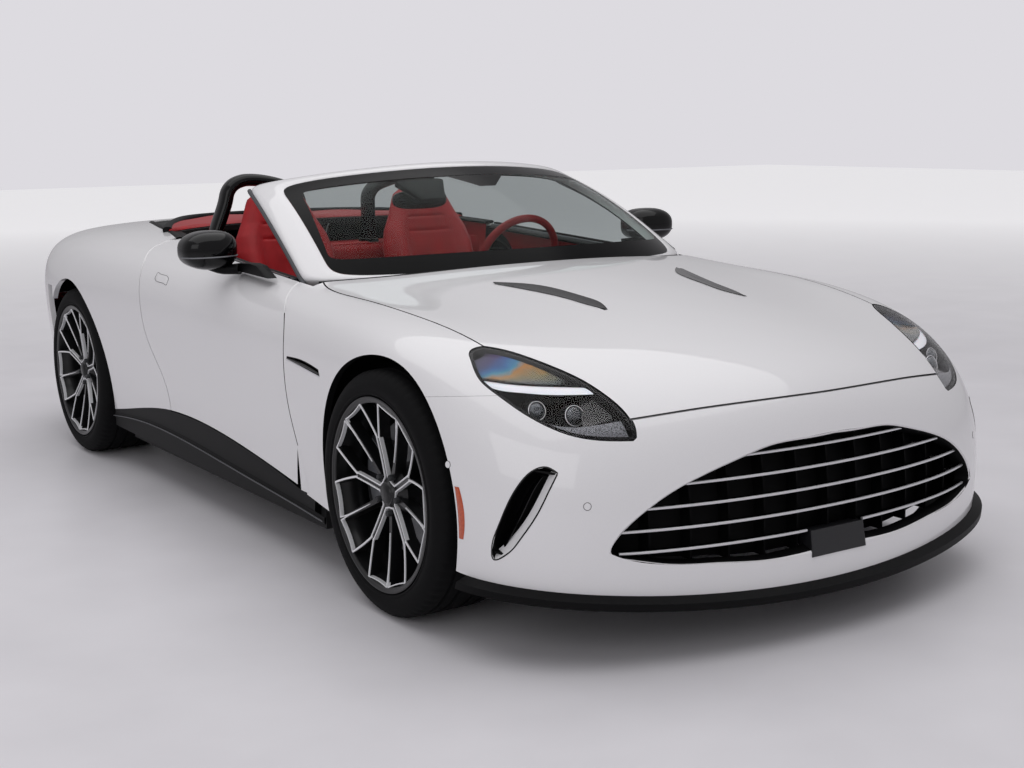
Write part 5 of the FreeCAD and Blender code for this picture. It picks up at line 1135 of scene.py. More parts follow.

# Door mirrors: gloss black moulded shells in two halves with a grey line between, silvered glass
# set in the back, on a flat arm from the corner of the door's window.
# Grey of the mirror's line, also used as a painted highlight along the sill blades
line_grey = material("grey anodised trim line", "77787c", 0.35, 0.8,
                     spots=(3, 0.30, 0.40, "707175", "7e7f83"))
MIRROR_HALF, MIRROR_POWER = (0.101, 0.086, 0.066), 2.7


def shell(side, at):
    """Superellipsoid whose back is cut flat and whose outer end is drawn in and rounded."""
    def squeeze(p):
        x, y, z = p.T
        taper = 1 - 0.16 * (side * x > 0) * (side * x) ** 2
        y = np.where(y > 0.40, 0.40 + (y - 0.40) * 0.06, y)
        z = z * taper * (1 - 0.05 * y)
        return np.stack([x, y - 0.10 * x * side, z], 1)
    return pebble(at, MIRROR_HALF, MIRROR_POWER, 48, 96, squeeze)


DOORS = (-1, "R", "door_right"), (1, "L", "door_left")
for side, name, body in DOORS:
    at = np.array([side * 0.955, -0.178, 0.970])
    head_points, head_faces = shell(side, at)
    parts = [(head_points, head_faces, black_gloss)]
    turn = np.linspace(math.radians(185), math.radians(355), 40)
    bend, inset = squared(np.array([np.cos(turn), np.sin(turn)]), MIRROR_POWER), 0.985
    line = spread(at[0] + MIRROR_HALF[0] * inset * bend[0],
                  at[1] + MIRROR_HALF[1] * (inset * bend[1] - 0.1 * bend[0] * side), at[2] - 0.020)
    parts.append((*carried(line, oval(0.0035, 0.0028, 10)), line_grey))
    parts.append((*pebble(at + (0, 0.0385, 0), (0.084, 0.0035, 0.046), 3.0, 16, 48), mirror_glass))
    foot = np.array([side * 0.862, -0.235, 0.905])
    arm_path = smooth([at + (0, -0.005, -0.052), at + (-side * 0.040, -0.018, -0.066),
                       at + (-side * 0.078, -0.045, -0.067), foot + (0, 0, -0.002)], 24)
    parts.append((*carried(arm_path, oval(0.030, 0.0155, 20, 2.6), scale=np.linspace(1.05, 1.15, 24)),
                  black_plastic))
    corner = np.array([(-0.475, 0.889), (-0.330, 0.893), (-0.170, 0.898), (-0.165, 0.915), (-0.250, 0.925),
                       (-0.345, 0.930), (-0.400, 0.925)])
    rows = []
    for x, shrink in ((0.833, 0.94), (0.836, 1.0), (0.868, 1.0), (0.872, 0.94)):
        spot = corner.mean(0) + (corner - corner.mean(0)) * shrink
        rows.append(spread(side * x, *spot.T))
    faces = grid(4, 7, closed_columns=True).tolist() + [list(range(7)), [21 + k for k in range(7)]]
    parts.append((np.stack(rows), faces, black_plastic))
    piece("mirror_shell_" + name, parts, body, ["mirror_" + name], sharp=40)

# Sill blades: thin plastic shelves clipped along the sills, each with a grey line outside, a painted
# highlight of the blade's lit edge, above the tucked-in lower edge.
for side, name in SIDES:
    sill = smooth([(-0.955, 0.181, 0), (-0.383, 0.210, 0), (0.243, 0.243, 0), (0.700, 0.238, 0),
                   (0.955, 0.214, 0)], 90)
    shelf = cast(spread(side * 1.05, sill[:, 0], sill[:, 1]), ACROSS)[0]
    # Black shelf, and a grey line outside it that is a painted highlight of its lit edge
    piece("sill_blade_" + name, [(*carried(shelf, oval(0.0035, 0.0120, 14, 2.4)), black_plastic),
                                 (*carried(shelf + (side * 0.0095, 0, -0.0005), oval(0.0022, 0.0018, 8)),
                                  line_grey)], "chassis")

# Wings' lower rear corners: painted flaps, pressed with the wing, that close it against the edge
# of the door.
for side, name in SIDES:
    share, height = np.meshgrid(np.linspace(0, 1, 8), np.linspace(0.246, 0.392, 24))
    ends = -0.790, np.interp(height, [0.246, 0.392], [-0.853, -0.800])
    flap_at, flap_normal = cast(spread(side * 1.05, ends[0] + (ends[1] - ends[0]) * share, height),
                                ACROSS)
    piece("wing_flap_" + name, [(flap_at + flap_normal * 0.0002, grid(24, 8), white_paint)], "chassis",
          flip=side > 0)

# Door handles: painted levers that lie flush in the door's skin, with a fine black ring round each,
# painted shade for the gap, hinged to a bracket behind the skin.
for side, name, body in DOORS:
    turn = full_turn(60)
    a, b = np.cos(turn), np.sin(turn)
    spots, normals = cast(spread(side * 0.95, 0.331 + 0.060 * np.sign(a) * np.abs(a) ** 0.35,
                                 0.829 + 0.0135 * np.sign(b) * np.abs(b) ** 0.35 + 0.009 * a), ACROSS)
    # Black ring laid on the skin along the outline: painted shade for the gap round the lever
    gap_shade_ring = carried(spots + normals * 0.0001, oval(0.0011, 0.0007, 8), closed=True)
    middle = spots.mean(0)
    plate = []
    for share in (0.985, 0.90, 0.5, 0.02):
        spot, normal = cast(middle + (spots - middle) * share, ACROSS)
        plate.append(spot + normal * (0.0002 + 0.0016 * (share < 0.95)))
    piece("door_handle_" + name, [(*gap_shade_ring, black_plastic), sheet(plate, white_paint, True)], body)

# Door seals: a black bead along the top edge of the door and grey extruded rubber inside it, where
# the lowered window stands in its slot.
def belt(side, row):
    """Points on the body along the top edge of a door, at shares of the wheelbase."""
    across = np.interp(row, [0.317, 0.500, 0.650, 0.742], [0.807, 0.798, 0.778, 0.748])
    return cast(spread(side * across * HALF, along(row), 0.9), UPWARDS)[0]


for side, name, body in DOORS:
    edge = belt(side, np.linspace(0.335, 0.735, 50))
    seal = carried(edge - (side * 0.0075, 0, 0.004), oval(0.006, 0.007, 12, 2.6))
    strip = carried(edge - (side * 0.026, 0, 0.010), oval(0.012, 0.006, 12, 3.0))
    piece("window_seal_" + name, [(*seal, black_gloss), (*strip, seal_rubber)], body)

# Seats: foam on a moulded shell, covered in red hide with sewn seams. Back and cushion are each a
# closed surface carried along a side profile, its section crowned, with bolsters and seam lines.
red_hide = material("red semi-aniline hide", "9a1219", 0.46, Specular_IOR_Level=0.3,
                    spots=(60, 0.40, 0.52, "920f16", "a3161d", 4.0))
where = add(red_hide, "ShaderNodeTexCoord")
# Hide grain is about 1.5 mm across; drawn at 4 mm so that it shows
pores = add(red_hide, "ShaderNodeTexVoronoi", Vector=where.outputs["Object"], Scale=1000 / 4,
            feature="DISTANCE_TO_EDGE")
relief(red_hide, pores.outputs["Distance"], 0.25, 0.4)
thread = material("waxed red sewing thread", "b23a36", 0.6, spots=(2, 0.5, 0.7, "a83330", "bb423d"))


def seam(t, at, width):
    """Narrow bell round a place."""
    return np.exp(-((t - at) / width) ** 2)


def cushion_form(profile, half_wide, thick, bolster, seams_at, cross_seams, rows=110, columns=64):
    """Closed padded surface along a side profile.

    A section at each station is a crowned oval: at a share t across, its half thickness is
    (1 - |t| ** 4) ** 0.45, bolsters lift the front near |t| = 0.78, and seams press it in."""
    path = smooth([(0, y, z) for y, z in profile], rows)
    ahead = np.gradient(path, axis=0)
    ahead /= np.linalg.norm(ahead, axis=1, keepdims=True)
    out = np.stack([ahead[:, 0], -ahead[:, 2], ahead[:, 1]], 1)
    s = np.linspace(0, 1, rows)
    wide = np.interp(s, *np.array(half_wide).T)
    deep = np.interp(s, *np.array(thick).T)
    lift = np.interp(s, *np.array(bolster).T)
    taper = np.clip(np.minimum(s / 0.035, (1 - s) / 0.045), 0, 1) ** 0.5
    turn = full_turn(columns)
    t = np.sign(np.cos(turn)) * np.abs(np.cos(turn)) ** 0.75
    face = np.sign(np.sin(turn))
    half = np.clip(1 - np.abs(t) ** 4, 0, 1) ** 0.45
    front = (face >= 0).astype(float)
    rise = front * lift[:, None] * (seam(np.abs(t), 0.76, 0.20) - 0.55 * seam(t, 0, 0.55))
    press = sum(seam(np.abs(t), at, 0.030) for at in seams_at)
    cross = sum(seam(s, at, 0.008) for at in cross_seams) if cross_seams else np.zeros(rows)
    inner = (np.abs(t) < 0.5).astype(float)
    dent = front * (0.005 * press + 0.006 * cross[:, None] * inner)
    off = deep[:, None] * taper[:, None] * half * face + rise * half - dent * half
    x = wide[:, None] * (0.55 + 0.45 * taper[:, None]) * t
    points = path[:, None] + out[:, None] * off[..., None]
    points[..., 0] = x
    faces = grid(rows, columns, closed_columns=True).tolist()
    faces += [list(range(columns))[::-1], [(rows - 1) * columns + k for k in range(columns)]]
    return points.reshape(-1, 3), faces


back_profile = [(0.448, 0.470), (0.462, 0.560), (0.490, 0.680), (0.520, 0.800), (0.548, 0.900),
                (0.578, 0.995), (0.606, 1.078), (0.616, 1.124)]
back_wide = [(0, 0.175), (0.2, 0.198), (0.45, 0.214), (0.62, 0.214), (0.72, 0.198), (0.82, 0.162),
             (0.93, 0.130), (1, 0.104)]
back_thick = [(0, 0.058), (0.3, 0.062), (0.6, 0.052), (0.75, 0.040), (1, 0.036)]
back_bolster = [(0, 0.030), (0.25, 0.052), (0.5, 0.050), (0.68, 0.026), (0.80, 0.004), (1, 0.002)]
seat_profile = [(0.430, 0.455), (0.330, 0.470), (0.200, 0.484), (0.080, 0.496), (-0.010, 0.498),
                (-0.046, 0.470)]
seat_wide = [(0, 0.175), (0.2, 0.196), (0.7, 0.212), (1, 0.205)]
seat_thick = [(0, 0.050), (0.3, 0.058), (0.85, 0.056), (1, 0.044)]
seat_bolster = [(0, 0.010), (0.3, 0.026), (0.75, 0.024), (0.95, 0.004), (1, 0)]
shell_profile = [(0.30, 0.30), (0.46, 0.40), (0.545, 0.62), (0.588, 0.82), (0.626, 1.000), (0.640, 1.050)]
SEAT_MIDDLE = 0.335
for side, name in SIDES:
    mid = side * SEAT_MIDDLE
    shift = np.array([mid, 0, 0])
    back = cushion_form(back_profile, back_wide, back_thick, back_bolster, (0.50,),
                        (0.36, 0.70, 0.79))
    made = piece("seat_back_" + name, [(back[0] + shift, back[1], red_hide)], "chassis",
                 ["seat_" + name])
    base = cushion_form(seat_profile, seat_wide, seat_thick, seat_bolster, (0.50,), (0.42,))
    made = piece("seat_cushion_" + name, [(base[0] + shift, base[1], red_hide)], "chassis")
    shell_path = smooth([(mid, y, z) for y, z in shell_profile], 60)
    shell_scale = np.interp(np.linspace(0, 1, 60), [0, 0.2, 0.6, 0.78, 1], [0.80, 0.98, 1.0, 0.72, 0.45])
    shell_part = carried(shell_path, oval(0.205, 0.011, 40, 3.0), up=(0, 1, 0.2))
    points = shell_part[0].reshape(60, 40, 3)
    points[..., 0] = mid + (points[..., 0] - mid) * shell_scale[:, None]
    runners = [carried([(mid + x, y, 0.205) for y in np.linspace(-0.02, 0.46, 8)],
                       oval(0.018, 0.020, 12, 4.0)) for x in (-0.16, 0.16)]
    plinth = carried([(mid, y, 0.345) for y in np.linspace(-0.01, 0.44, 12)],
                     oval(0.185, 0.105, 32, 5.0), scale=np.linspace(0.97, 1.0, 12))
    piece("seat_shell_" + name,
          [(points.reshape(-1, 3), shell_part[1], black_leather),
           (*plinth, black_leather)] + [(*r, black_plastic) for r in runners],
          "chassis")

# Seat belts: woven red webbing, sewn double at its ends and bolted to the floor, from the shoulder
# of each seat down to its foot.
webbing = material("woven red webbing", "6e1214", 0.75)
where = add(webbing, "ShaderNodeTexCoord")
# Webbing ribs are 1.2 mm apart; drawn at 4 mm so that they show
ribs = add(webbing, "ShaderNodeTexWave", Vector=where.outputs["Object"], Scale=1000 / 4 / 6.28)
relief(webbing, ribs.outputs["Fac"], 0.4, 0.3)
for side, name in SIDES:
    x = side * SEAT_MIDDLE
    path = smooth([(x + side * 0.185, 0.640, 0.905), (x + side * 0.205, 0.575, 0.860),
                   (x + side * 0.222, 0.500, 0.700), (x + side * 0.226, 0.430, 0.500),
                   (x + side * 0.226, 0.400, 0.330)], 40)
    piece("seat_belt_" + name, [(*carried(path, oval(0.0012, 0.022, 12, 4.0), up=(0, -1, 0.3)), webbing)],
          "chassis")

# Dashboard: a long red-covered roll with a black top under the windscreen, air outlets, a centre
# display and an instrument hood, all clipped to a cross-car beam.
top_profile = [(-0.787, 0.848), (-0.700, 0.8505), (-0.600, 0.8505), (-0.545, 0.848), (-0.540, 0.835),
               (-0.620, 0.815), (-0.787, 0.810)]
low_profile = [(-0.545, 0.8475), (-0.505, 0.842), (-0.466, 0.829), (-0.444, 0.806), (-0.434, 0.775),
               (-0.436, 0.745), (-0.450, 0.700), (-0.462, 0.655), (-0.476, 0.626), (-0.510, 0.612),
               (-0.600, 0.604), (-0.700, 0.604), (-0.700, 0.800), (-0.620, 0.830)]


def lengthwise(profile, half, count=50):
    """Profile of (y, z) carried straight across the car, its ends closed."""
    outline = np.asarray(profile, float)
    size = len(outline)
    points = spread(np.linspace(-half, half, count)[:, None], *outline.T)
    faces = grid(count, size, closed_columns=True).tolist()
    return points, faces + [list(range(size))[::-1], [(count - 1) * size + k for k in range(size)]]


black_glass = material("black display glass", "050507", 0.06, Coat_Weight=1.0,
                       spots=(40, 0.05, 0.08, "040406", "070709"))
dash_half = 0.729
dash_parts = [(*lengthwise(top_profile, dash_half), black_leather),
              (*lengthwise(low_profile, dash_half), red_hide),
              (*carried([(x, -0.4325, 0.772) for x in np.linspace(-0.72, 0.72, 40)],
                        oval(0.0025, 0.0040, 10), up=(0, 0, 1)), satin_silver)]
for x in (-0.60, -0.13, 0.13, 0.62):
    vent_at = np.array([x, -0.437, 0.800])
    dash_parts.append((*pebble(vent_at, (0.062, 0.008, 0.019), 4.0, 16, 48), black_plastic))
    for k in (-1, 0, 1):
        slat = [(x + dx, -0.4285, 0.800 + k * 0.0095) for dx in np.linspace(-0.052, 0.052, 6)]
        dash_parts.append((*carried(slat, oval(0.0022, 0.0016, 8)), satin_silver))
piece("dash_cover", dash_parts, "chassis", ["dashboard"])
display = pebble((0, -0.424, 0.845), (0.132, 0.007, 0.052), 6.0, 24, 64)
hood_path = smooth([(0.235, -0.455, 0.835), (0.262, -0.455, 0.878), (0.360, -0.455, 0.897),
                    (0.458, -0.455, 0.878), (0.485, -0.455, 0.835)], 40)
hood = carried(hood_path, oval(0.007, 0.062, 20, 3.0), up=(0, 1, 0))
dials = pebble((0.360, -0.462, 0.845), (0.112, 0.007, 0.040), 6.0, 16, 48)
piece("dash_displays", [(turned_block(display[0], (0, -0.424, 0.845), "X", -14), display[1], black_glass),
                        (*hood, red_hide), (*dials, black_glass)], "chassis")

# Console: moulded board with red padded sides and a gloss black lid, screwed to the tunnel. It
# carries a short selector, two knobs turned from aluminium and an arm rest.
console_side = [(-0.488, 0.4315), (-0.470, 0.600), (-0.400, 0.622), (-0.200, 0.612), (0.000, 0.598),
                (0.100, 0.596), (0.200, 0.598), (0.640, 0.600), (0.676, 0.580), (0.680, 0.4315)]
half_row = np.array([1.0, 1.0, 0.985, 0.93, 0.80, 0.0])
rise_row = np.array([0.0, 0.93, 0.975, 0.995, 1.0, 1.0])
side_line = smooth([(0, y, z) for y, z in console_side[1:-1]], 60)
rows = []
for half, rise in [(-h, r) for h, r in zip(half_row, rise_row)] + \
        [(h, r) for h, r in list(zip(half_row, rise_row))[::-1][1:]]:
    rows.append(np.stack([np.full(60, 0.109 * half), side_line[:, 1],
                          0.4315 + (side_line[:, 2] - 0.4315) * rise], 1))
console_parts = [sheet(rows, red_hide)]
lid_path = [(0, y, np.interp(y, side_line[:, 1], side_line[:, 2]) + 0.002)
            for y in np.linspace(-0.44, 0.16, 40)]
console_parts.append((*carried(lid_path, oval(0.078, 0.0045, 32, 5.0)), black_gloss))
console_parts.append((*pebble((0, 0.415, 0.614), (0.094, 0.200, 0.023), 3.6, 32, 64), red_hide))
for x, y in ((0.045, -0.05), (0.045, 0.04)):
    knob = turned([(0.0001, 0.0), (0.017, 0.0005), (0.019, 0.003), (0.019, 0.022), (0.022, 0.026)], 40)
    knob_at = knob[0][..., [1, 2, 0]] * (1, 1, -1) + (x, y, 0.626)
    console_parts.append((knob_at, knob[1], satin_silver))
console_parts.append((*carried(smooth([(-0.03, -0.10, 0.600), (-0.03, -0.095, 0.640),
                                       (-0.03, -0.085, 0.668)], 12), oval(0.014, 0.018, 20, 2.6),
                               up=(0, 1, 0), scale=np.linspace(0.8, 1.3, 12)), black_gloss))
piece("console_cover", console_parts, "chassis", ["console"])

# Steering wheel: a cast magnesium spider under foam and sewn hide, flat at the bottom, with three
# gloss black arms and a padded boss, bolted to the end of its column.
tilt = math.radians(24)
STEER_AT = np.array([0.360, -0.115, 0.862])
wheel_up = np.array([0, -math.sin(tilt), math.cos(tilt)])
wheel_out = np.array([0, math.cos(tilt), math.sin(tilt)])


def on_wheel(across, up_by, out_by):
    """Points in the steering wheel's own plane."""
    across, up_by, out_by = np.broadcast_arrays(across, up_by, out_by)
    return STEER_AT + across[..., None] * np.array([1.0, 0, 0]) + up_by[..., None] * wheel_up + \
        out_by[..., None] * wheel_out


grip_radius, flat_bottom = 0.172, 0.150
turn = full_turn(160)
rim_up = grip_radius * np.cos(turn)
rim_up = np.where(rim_up < -flat_bottom, -flat_bottom - 0.18 * (-rim_up - flat_bottom), rim_up)
rim = on_wheel(grip_radius * np.sin(turn), rim_up, 0.0)
grip = 1 + 0.07 * np.exp(-((np.abs(np.sin(turn)) - 0.97) / 0.05) ** 2)
steer_parts = [(*carried(rim, oval(0.0145, 0.0155, 24, 2.2), up=wheel_out, closed=True, scale=grip),
                red_hide)]
for a, b in (((-0.166, 0.010), (-0.048, -0.012)), ((0.166, 0.010), (0.048, -0.012)),
             ((0.0, -0.148), (0.0, -0.045))):
    arm = on_wheel(np.linspace(a[0], b[0], 16), np.linspace(a[1], b[1], 16),
                   -0.012 * np.sin(np.linspace(0, np.pi, 16)) - 0.004)
    steer_parts.append((*carried(arm, oval(0.019, 0.0065, 20, 3.0), up=wheel_out,
                                 scale=np.linspace(0.85, 1.25, 16)), black_gloss))
boss = pebble((0, 0, 0), (0.064, 0.050, 0.021), 2.8, 28, 56)
boss_at = on_wheel(boss[0][:, 0], boss[0][:, 1] - 0.008, boss[0][:, 2] - 0.010)
steer_parts.append((boss_at, boss[1], black_leather))
column = on_wheel(np.zeros(10), np.zeros(10), np.linspace(-0.020, -0.415, 10))
steer_parts.append((*carried(column, oval(0.0225, 0.0225, 24), up=(1, 0, 0)), black_plastic))
piece("steering_cover", steer_parts, "steering", ["steering_wheel"])

# Door trims: moulded boards covered in red hide, with a black top rail, a stitched lower pocket
# and an arm rest. The boards keep the cut parts' shape, hidden under copies with smooth normals.
for side, name, body in DOORS:
    panel("door_trim_" + name, red_hide)
    edge = belt(side, np.linspace(0.345, 0.728, 60))
    rail = carried(edge - np.array([side * 0.052, 0, 0.016]), oval(0.020, 0.0075, 16, 2.6))

    def inside(share_from, share_to, drop, sink, count=50):
        """Points on the trim's inner face, a drop below the belt and a sink past its surface."""
        row = np.linspace(share_from, share_to, count)
        height = 0.93 - drop
        point, normal = cast(spread(side * 0.94, along(row), height), ACROSS)
        return point - normal * (0.1105 + sink)
    rest = inside(0.40, 0.62, 0.235, 0.018)
    rest_part = carried(rest, oval(0.026, 0.019, 24, 3.0),
                        scale=np.clip(np.sin(np.linspace(0.12, 3.02, 50)), 0, 1) ** 0.25)
    pull = carried(inside(0.425, 0.505, 0.185, 0.014, 20), oval(0.009, 0.010, 16, 2.4),
                   scale=np.clip(np.sin(np.linspace(0.3, 2.84, 20)), 0, 1) ** 0.3)
    stitched = carried(inside(0.36, 0.665, 0.140 + 0.02 * np.sin(np.linspace(0, 3.14, 50)), 0.0004),
                       oval(0.0016, 0.0016, 6))
    low_line = carried(inside(0.36, 0.65, 0.345, 0.0004), oval(0.0016, 0.0016, 6))
    round_at = inside(0.345, 0.345, 0.42, 0.001, 2)[0]
    turn = full_turn(40)
    disc = [round_at + np.stack([np.full(40, -side * lift), 0.070 * r * np.cos(turn),
                                 0.070 * r * np.sin(turn)], 1)
            for r, lift in ((1.0, 0.0), (0.98, 0.004), (0.86, 0.0045), (0.80, 0.002), (0.01, 0.0035))]
    piece("door_fittings_" + name,
          [(*rail, black_leather), (*rest_part, red_hide), (*pull, satin_silver),
           (*stitched, thread), (*low_line, thread),
           sheet(disc, black_plastic, True)], body)

# Cabin rear: moulded boards padded and covered in red hide, clipped round a small shelf, with a
# black rail along the body's edge and lines of red thread.
rim_shares = [(0.742, 0.748), (0.713, 0.795), (0.690, 0.845), (0.667, 0.885)]
for side, name in SIDES:
    run = plan_run(rim_shares, side, 30)
    inner = run[0] - np.array([side * 0.032, 0, 0.010])
    rail = carried(inner + (side * 0.012, 0, 0.006), oval(0.026, 0.0065, 16, 3.0))
    low = spread(side * 0.655, np.linspace(0.652, 0.826, 30), 0.700)
    rows = [inner * (1 - s) + low * s + np.array([side * 0.012 * math.sin(math.pi * s), 0, 0])
            for s in np.linspace(0, 1, 12)]
    seam_line = carried(rows[4] - (side * 0.0012, 0, 0), oval(0.0014, 0.0014, 6))
    piece("cabin_side_" + name, [(*rail, black_leather), sheet(rows, red_hide),
                                 (*seam_line, thread)], "chassis",
          flip=side < 0)
back_rows = []
x_row = np.linspace(-0.69, 0.69, 90)
for y, z in smooth([(0.6905, 0.650, 0), (0.6885, 0.700, 0), (0.688, 0.800, 0), (0.6905, 0.872, 0),
                    (0.700, 0.8855, 0), (0.730, 0.8885, 0), (0.8305, 0.8885, 0)], 40)[:, :2]:
    dip = 0.006 * (seam(x_row, 0.0, 0.16) + seam(x_row, 0.36, 0.16) + seam(x_row, -0.36, 0.16))
    back_rows.append(spread(x_row, y - dip * (z < 0.87), z))
finish(red_hide, "rear_trim")
shelf_lines = [carried([(x, 0.6862, z) for z in np.linspace(0.66, 0.86, 12)], oval(0.0014, 0.0014, 6),
                       up=(0, 1, 0)) for x in (-0.18, 0.18)]
piece("cabin_back", [sheet(back_rows, red_hide)] +
      [(*line, thread) for line in shelf_lines], "chassis", flip=False)

# Carpet: tufted black pile cut to the floor on each side of the tunnel and laid loose, rising to
# the pedals at the front.
carpet = material("tufted black carpet", "121113", 0.95, Sheen_Weight=0.3,
                  spots=(5, 0.9, 1.0, "0d0c0e", "1a191c", 5.0), bumps=(0.8, 1.0))
for side, name in SIDES:
    x = np.linspace(side * 0.118, side * 0.735, 30)
    y = np.linspace(-0.78, 0.66, 60)
    gx, gy = np.meshgrid(x, y)
    up_front = 0.10 * np.clip((-0.55 - gy) / 0.23, 0, 1) ** 1.5
    piece("carpet_" + name, [sheet(np.stack([gx, gy, 0.1705 + up_front], -1), carpet)],
          "chassis", flip=side < 0)

# Roll hoops: bent steel tubes behind the seats in moulded gloss black shells, each standing in a
# plastic foot on the deck. The outer leg leans outwards and the top slopes down to the inner one.
HOOP_Y = 0.7509
low_z, top_z, bend = 0.887, 1.163, 0.080
x0, x1 = 0.1634, 0.490
for side, name in SIDES:
    corner = np.linspace(0, np.pi / 2, 16)
    first = np.stack([x0 + bend * (1 - np.cos(corner)), top_z - bend * (1 - np.sin(corner))], 1)
    second = np.stack([x1 - bend * (1 - np.sin(corner)), top_z - bend * (1 - np.cos(corner))], 1)
    outer_leg = np.linspace([x1, top_z - bend], [x1 + 0.080, low_z], 14)[1:]
    inner_leg = np.linspace([x0, low_z], [x0, top_z - bend], 14)[:-1]
    flat = np.concatenate([inner_leg, first, second[1:], outer_leg])
    flat = smooth([(*spot, 0) for spot in flat[np.r_[0:len(flat) - 1:3, -1]]], 64)[:, :2]
    flat[:, 1] -= (flat[:, 1] - low_z) * 0.10 * np.clip((x1 - 0.08 - flat[:, 0]) / 0.2, 0, 1)
    path = spread(side * flat[:, 0], HOOP_Y, flat[:, 1])
    section = oval(0.0255, 0.0390, 28, 2.6)
    foot = [carried([(side * x, HOOP_Y, z) for z in np.linspace(0.8865, 0.900, 4)],
                    oval(0.032, 0.052, 28, 3.0), up=(0, 1, 0), scale=[1.06, 1.05, 1.0, 0.95])
            for x in (x0, x1 + 0.079)]
    piece("hoop_shell_" + name, [(*carried(path, section, up=(0, 1, 0)), black_gloss)] +
          [(*f, black_plastic) for f in foot], "chassis",
          ["roll_hoops"])

# Folded roof: hood of woven acoustic cloth, folded by its bows into a well behind the seats, its
# last panel stretched level with the deck, with sewn seams across and a seal round the well.
hood_cloth = material("woven acoustic hood cloth", "0c0c0d", 0.9, Sheen_Weight=0.08)
where = add(hood_cloth, "ShaderNodeTexCoord")
# Hood cloth threads are 0.6 mm apart; drawn at 3 mm so that they show
warp = add(hood_cloth, "ShaderNodeTexWave", Vector=where.outputs["Object"], Scale=1000 / 3 / 6.28,
           bands_direction="X", Distortion=0.4)
weft = add(hood_cloth, "ShaderNodeTexWave", Vector=where.outputs["Object"], Scale=1000 / 3 / 6.28,
           bands_direction="Y", Distortion=0.4)
weave = add(hood_cloth, "ShaderNodeMath", operation="MULTIPLY")
hood_cloth.node_tree.links.new(warp.outputs["Fac"], weave.inputs[0])
hood_cloth.node_tree.links.new(weft.outputs["Fac"], weave.inputs[1])
relief(hood_cloth, weave.outputs["Value"], 0.5, 0.4)
tone = add(hood_cloth, "ShaderNodeValToRGB", Fac=weave.outputs["Value"])
tone.color_ramp.elements[0].color, tone.color_ramp.elements[1].color = linear("08080a"), linear("111113")
into(hood_cloth, "Base Color", tone.outputs["Color"])
panel("folded_roof", hood_cloth)
for k, share in enumerate((1.05, 1.10)):
    reach = float(np.interp(share, [0.795, 0.900, 1.111], [0.713, 0.660, 0.565])) - 0.020
    point, normal = cast(spread(np.linspace(-reach * HALF, reach * HALF, 60), along(share), 0.95),
                         UPWARDS)
    piece("roof_seam_%d" % k, [(*carried(point - normal * 0.0030, oval(0.0085, 0.0016, 12, 3.0)),
                                hood_cloth)], "chassis")

# Seal of the well: a black hide-covered bead along each side of the roof
for side, name in SIDES:
    run = plan_run([(0.742, 0.748), (0.713, 0.795), (0.660, 0.900), (0.565, 1.111)], side, 60)
    piece("well_seal_" + name, [(*carried(run[0] - run[1] * 0.002, oval(0.0125, 0.0070, 14, 2.4)),
                                 black_leather)], "chassis")

# Shelf behind the hoops: a padded red board over the front of the hood, with sewn channels across
# it and a black roll round its rear edge, where the hood's cover closes on it
edge_y = smooth([(-0.700, 0.850, 0), (-0.652, 0.960, 0), (-0.580, 1.084, 0), (-0.475, 1.240, 0),
                 (-0.367, 1.330, 0), (-0.200, 1.385, 0), (0.0, 1.400, 0)], 60)[:, :2]
edge_y = np.concatenate([edge_y, (edge_y * (-1, 1))[::-1][1:]])
board = []
for share in np.linspace(0, 1, 46):
    point, normal = cast(spread(edge_y[:, 0], 0.845 + (edge_y[:, 1] - 0.845) * share, 0.95), UPWARDS)
    crown = min(1.0, 9 * share, 9 * (1 - share)) ** 0.5
    crown = crown * np.clip((0.705 - np.abs(edge_y[:, 0])) / 0.03, 0, 1) ** 0.5
    sewn = sum(seam(edge_y[:, 0], at, 0.10) for at in (-0.45, -0.15, 0.15, 0.45))
    board.append(point + normal * (0.0006 + 0.012 * crown * (1 - 0.55 * sewn))[:, None])
roll_at, roll_normal = cast(spread(edge_y[:, 0], edge_y[:, 1] + 0.016, 0.95), UPWARDS)
roll = carried(roll_at + roll_normal * 0.006, oval(0.020, 0.0150, 20, 2.3))
piece("hood_shelf", [sheet(board, red_hide), (*roll, black_leather)], "chassis",
      flip=False)

# Tail lamps: a long red acrylic lens across the tail, moulded in one and clipped from behind, with
# a bright inner line and a black one below it.
red_lens = material("red acrylic lens", "8a0d12", 0.10, Coat_Weight=1.0, Subsurface_Weight=0.1,
                    spots=(12, 0.08, 0.12, "7c0a0f", "980f15"))
panel("tail_lights", red_lens)
lamp_x = np.linspace(-0.845, 0.845, 160) * HALF


def on_tail(across, up, depth):
    """Points behind the tail's surface, seen square from the back, at a depth."""
    return on_front(across, up, depth, 2.2)


bright_red = material("lit red light guide", "e0242a", 0.2, Coat_Weight=0.8, Subsurface_Weight=0.2,
                      spots=(5, 0.16, 0.24, "d61f25", "ea2b31"))
tail_parts = [(*carried(on_tail(lamp_x, 0.6020, -0.0004), oval(0.0024, 0.0030, 10)), bright_red),
              (*carried(on_tail(lamp_x, 0.5868, -0.0003), oval(0.0020, 0.0022, 10)), black_gloss)]
piece("tail_light_guides", tail_parts, "chassis")

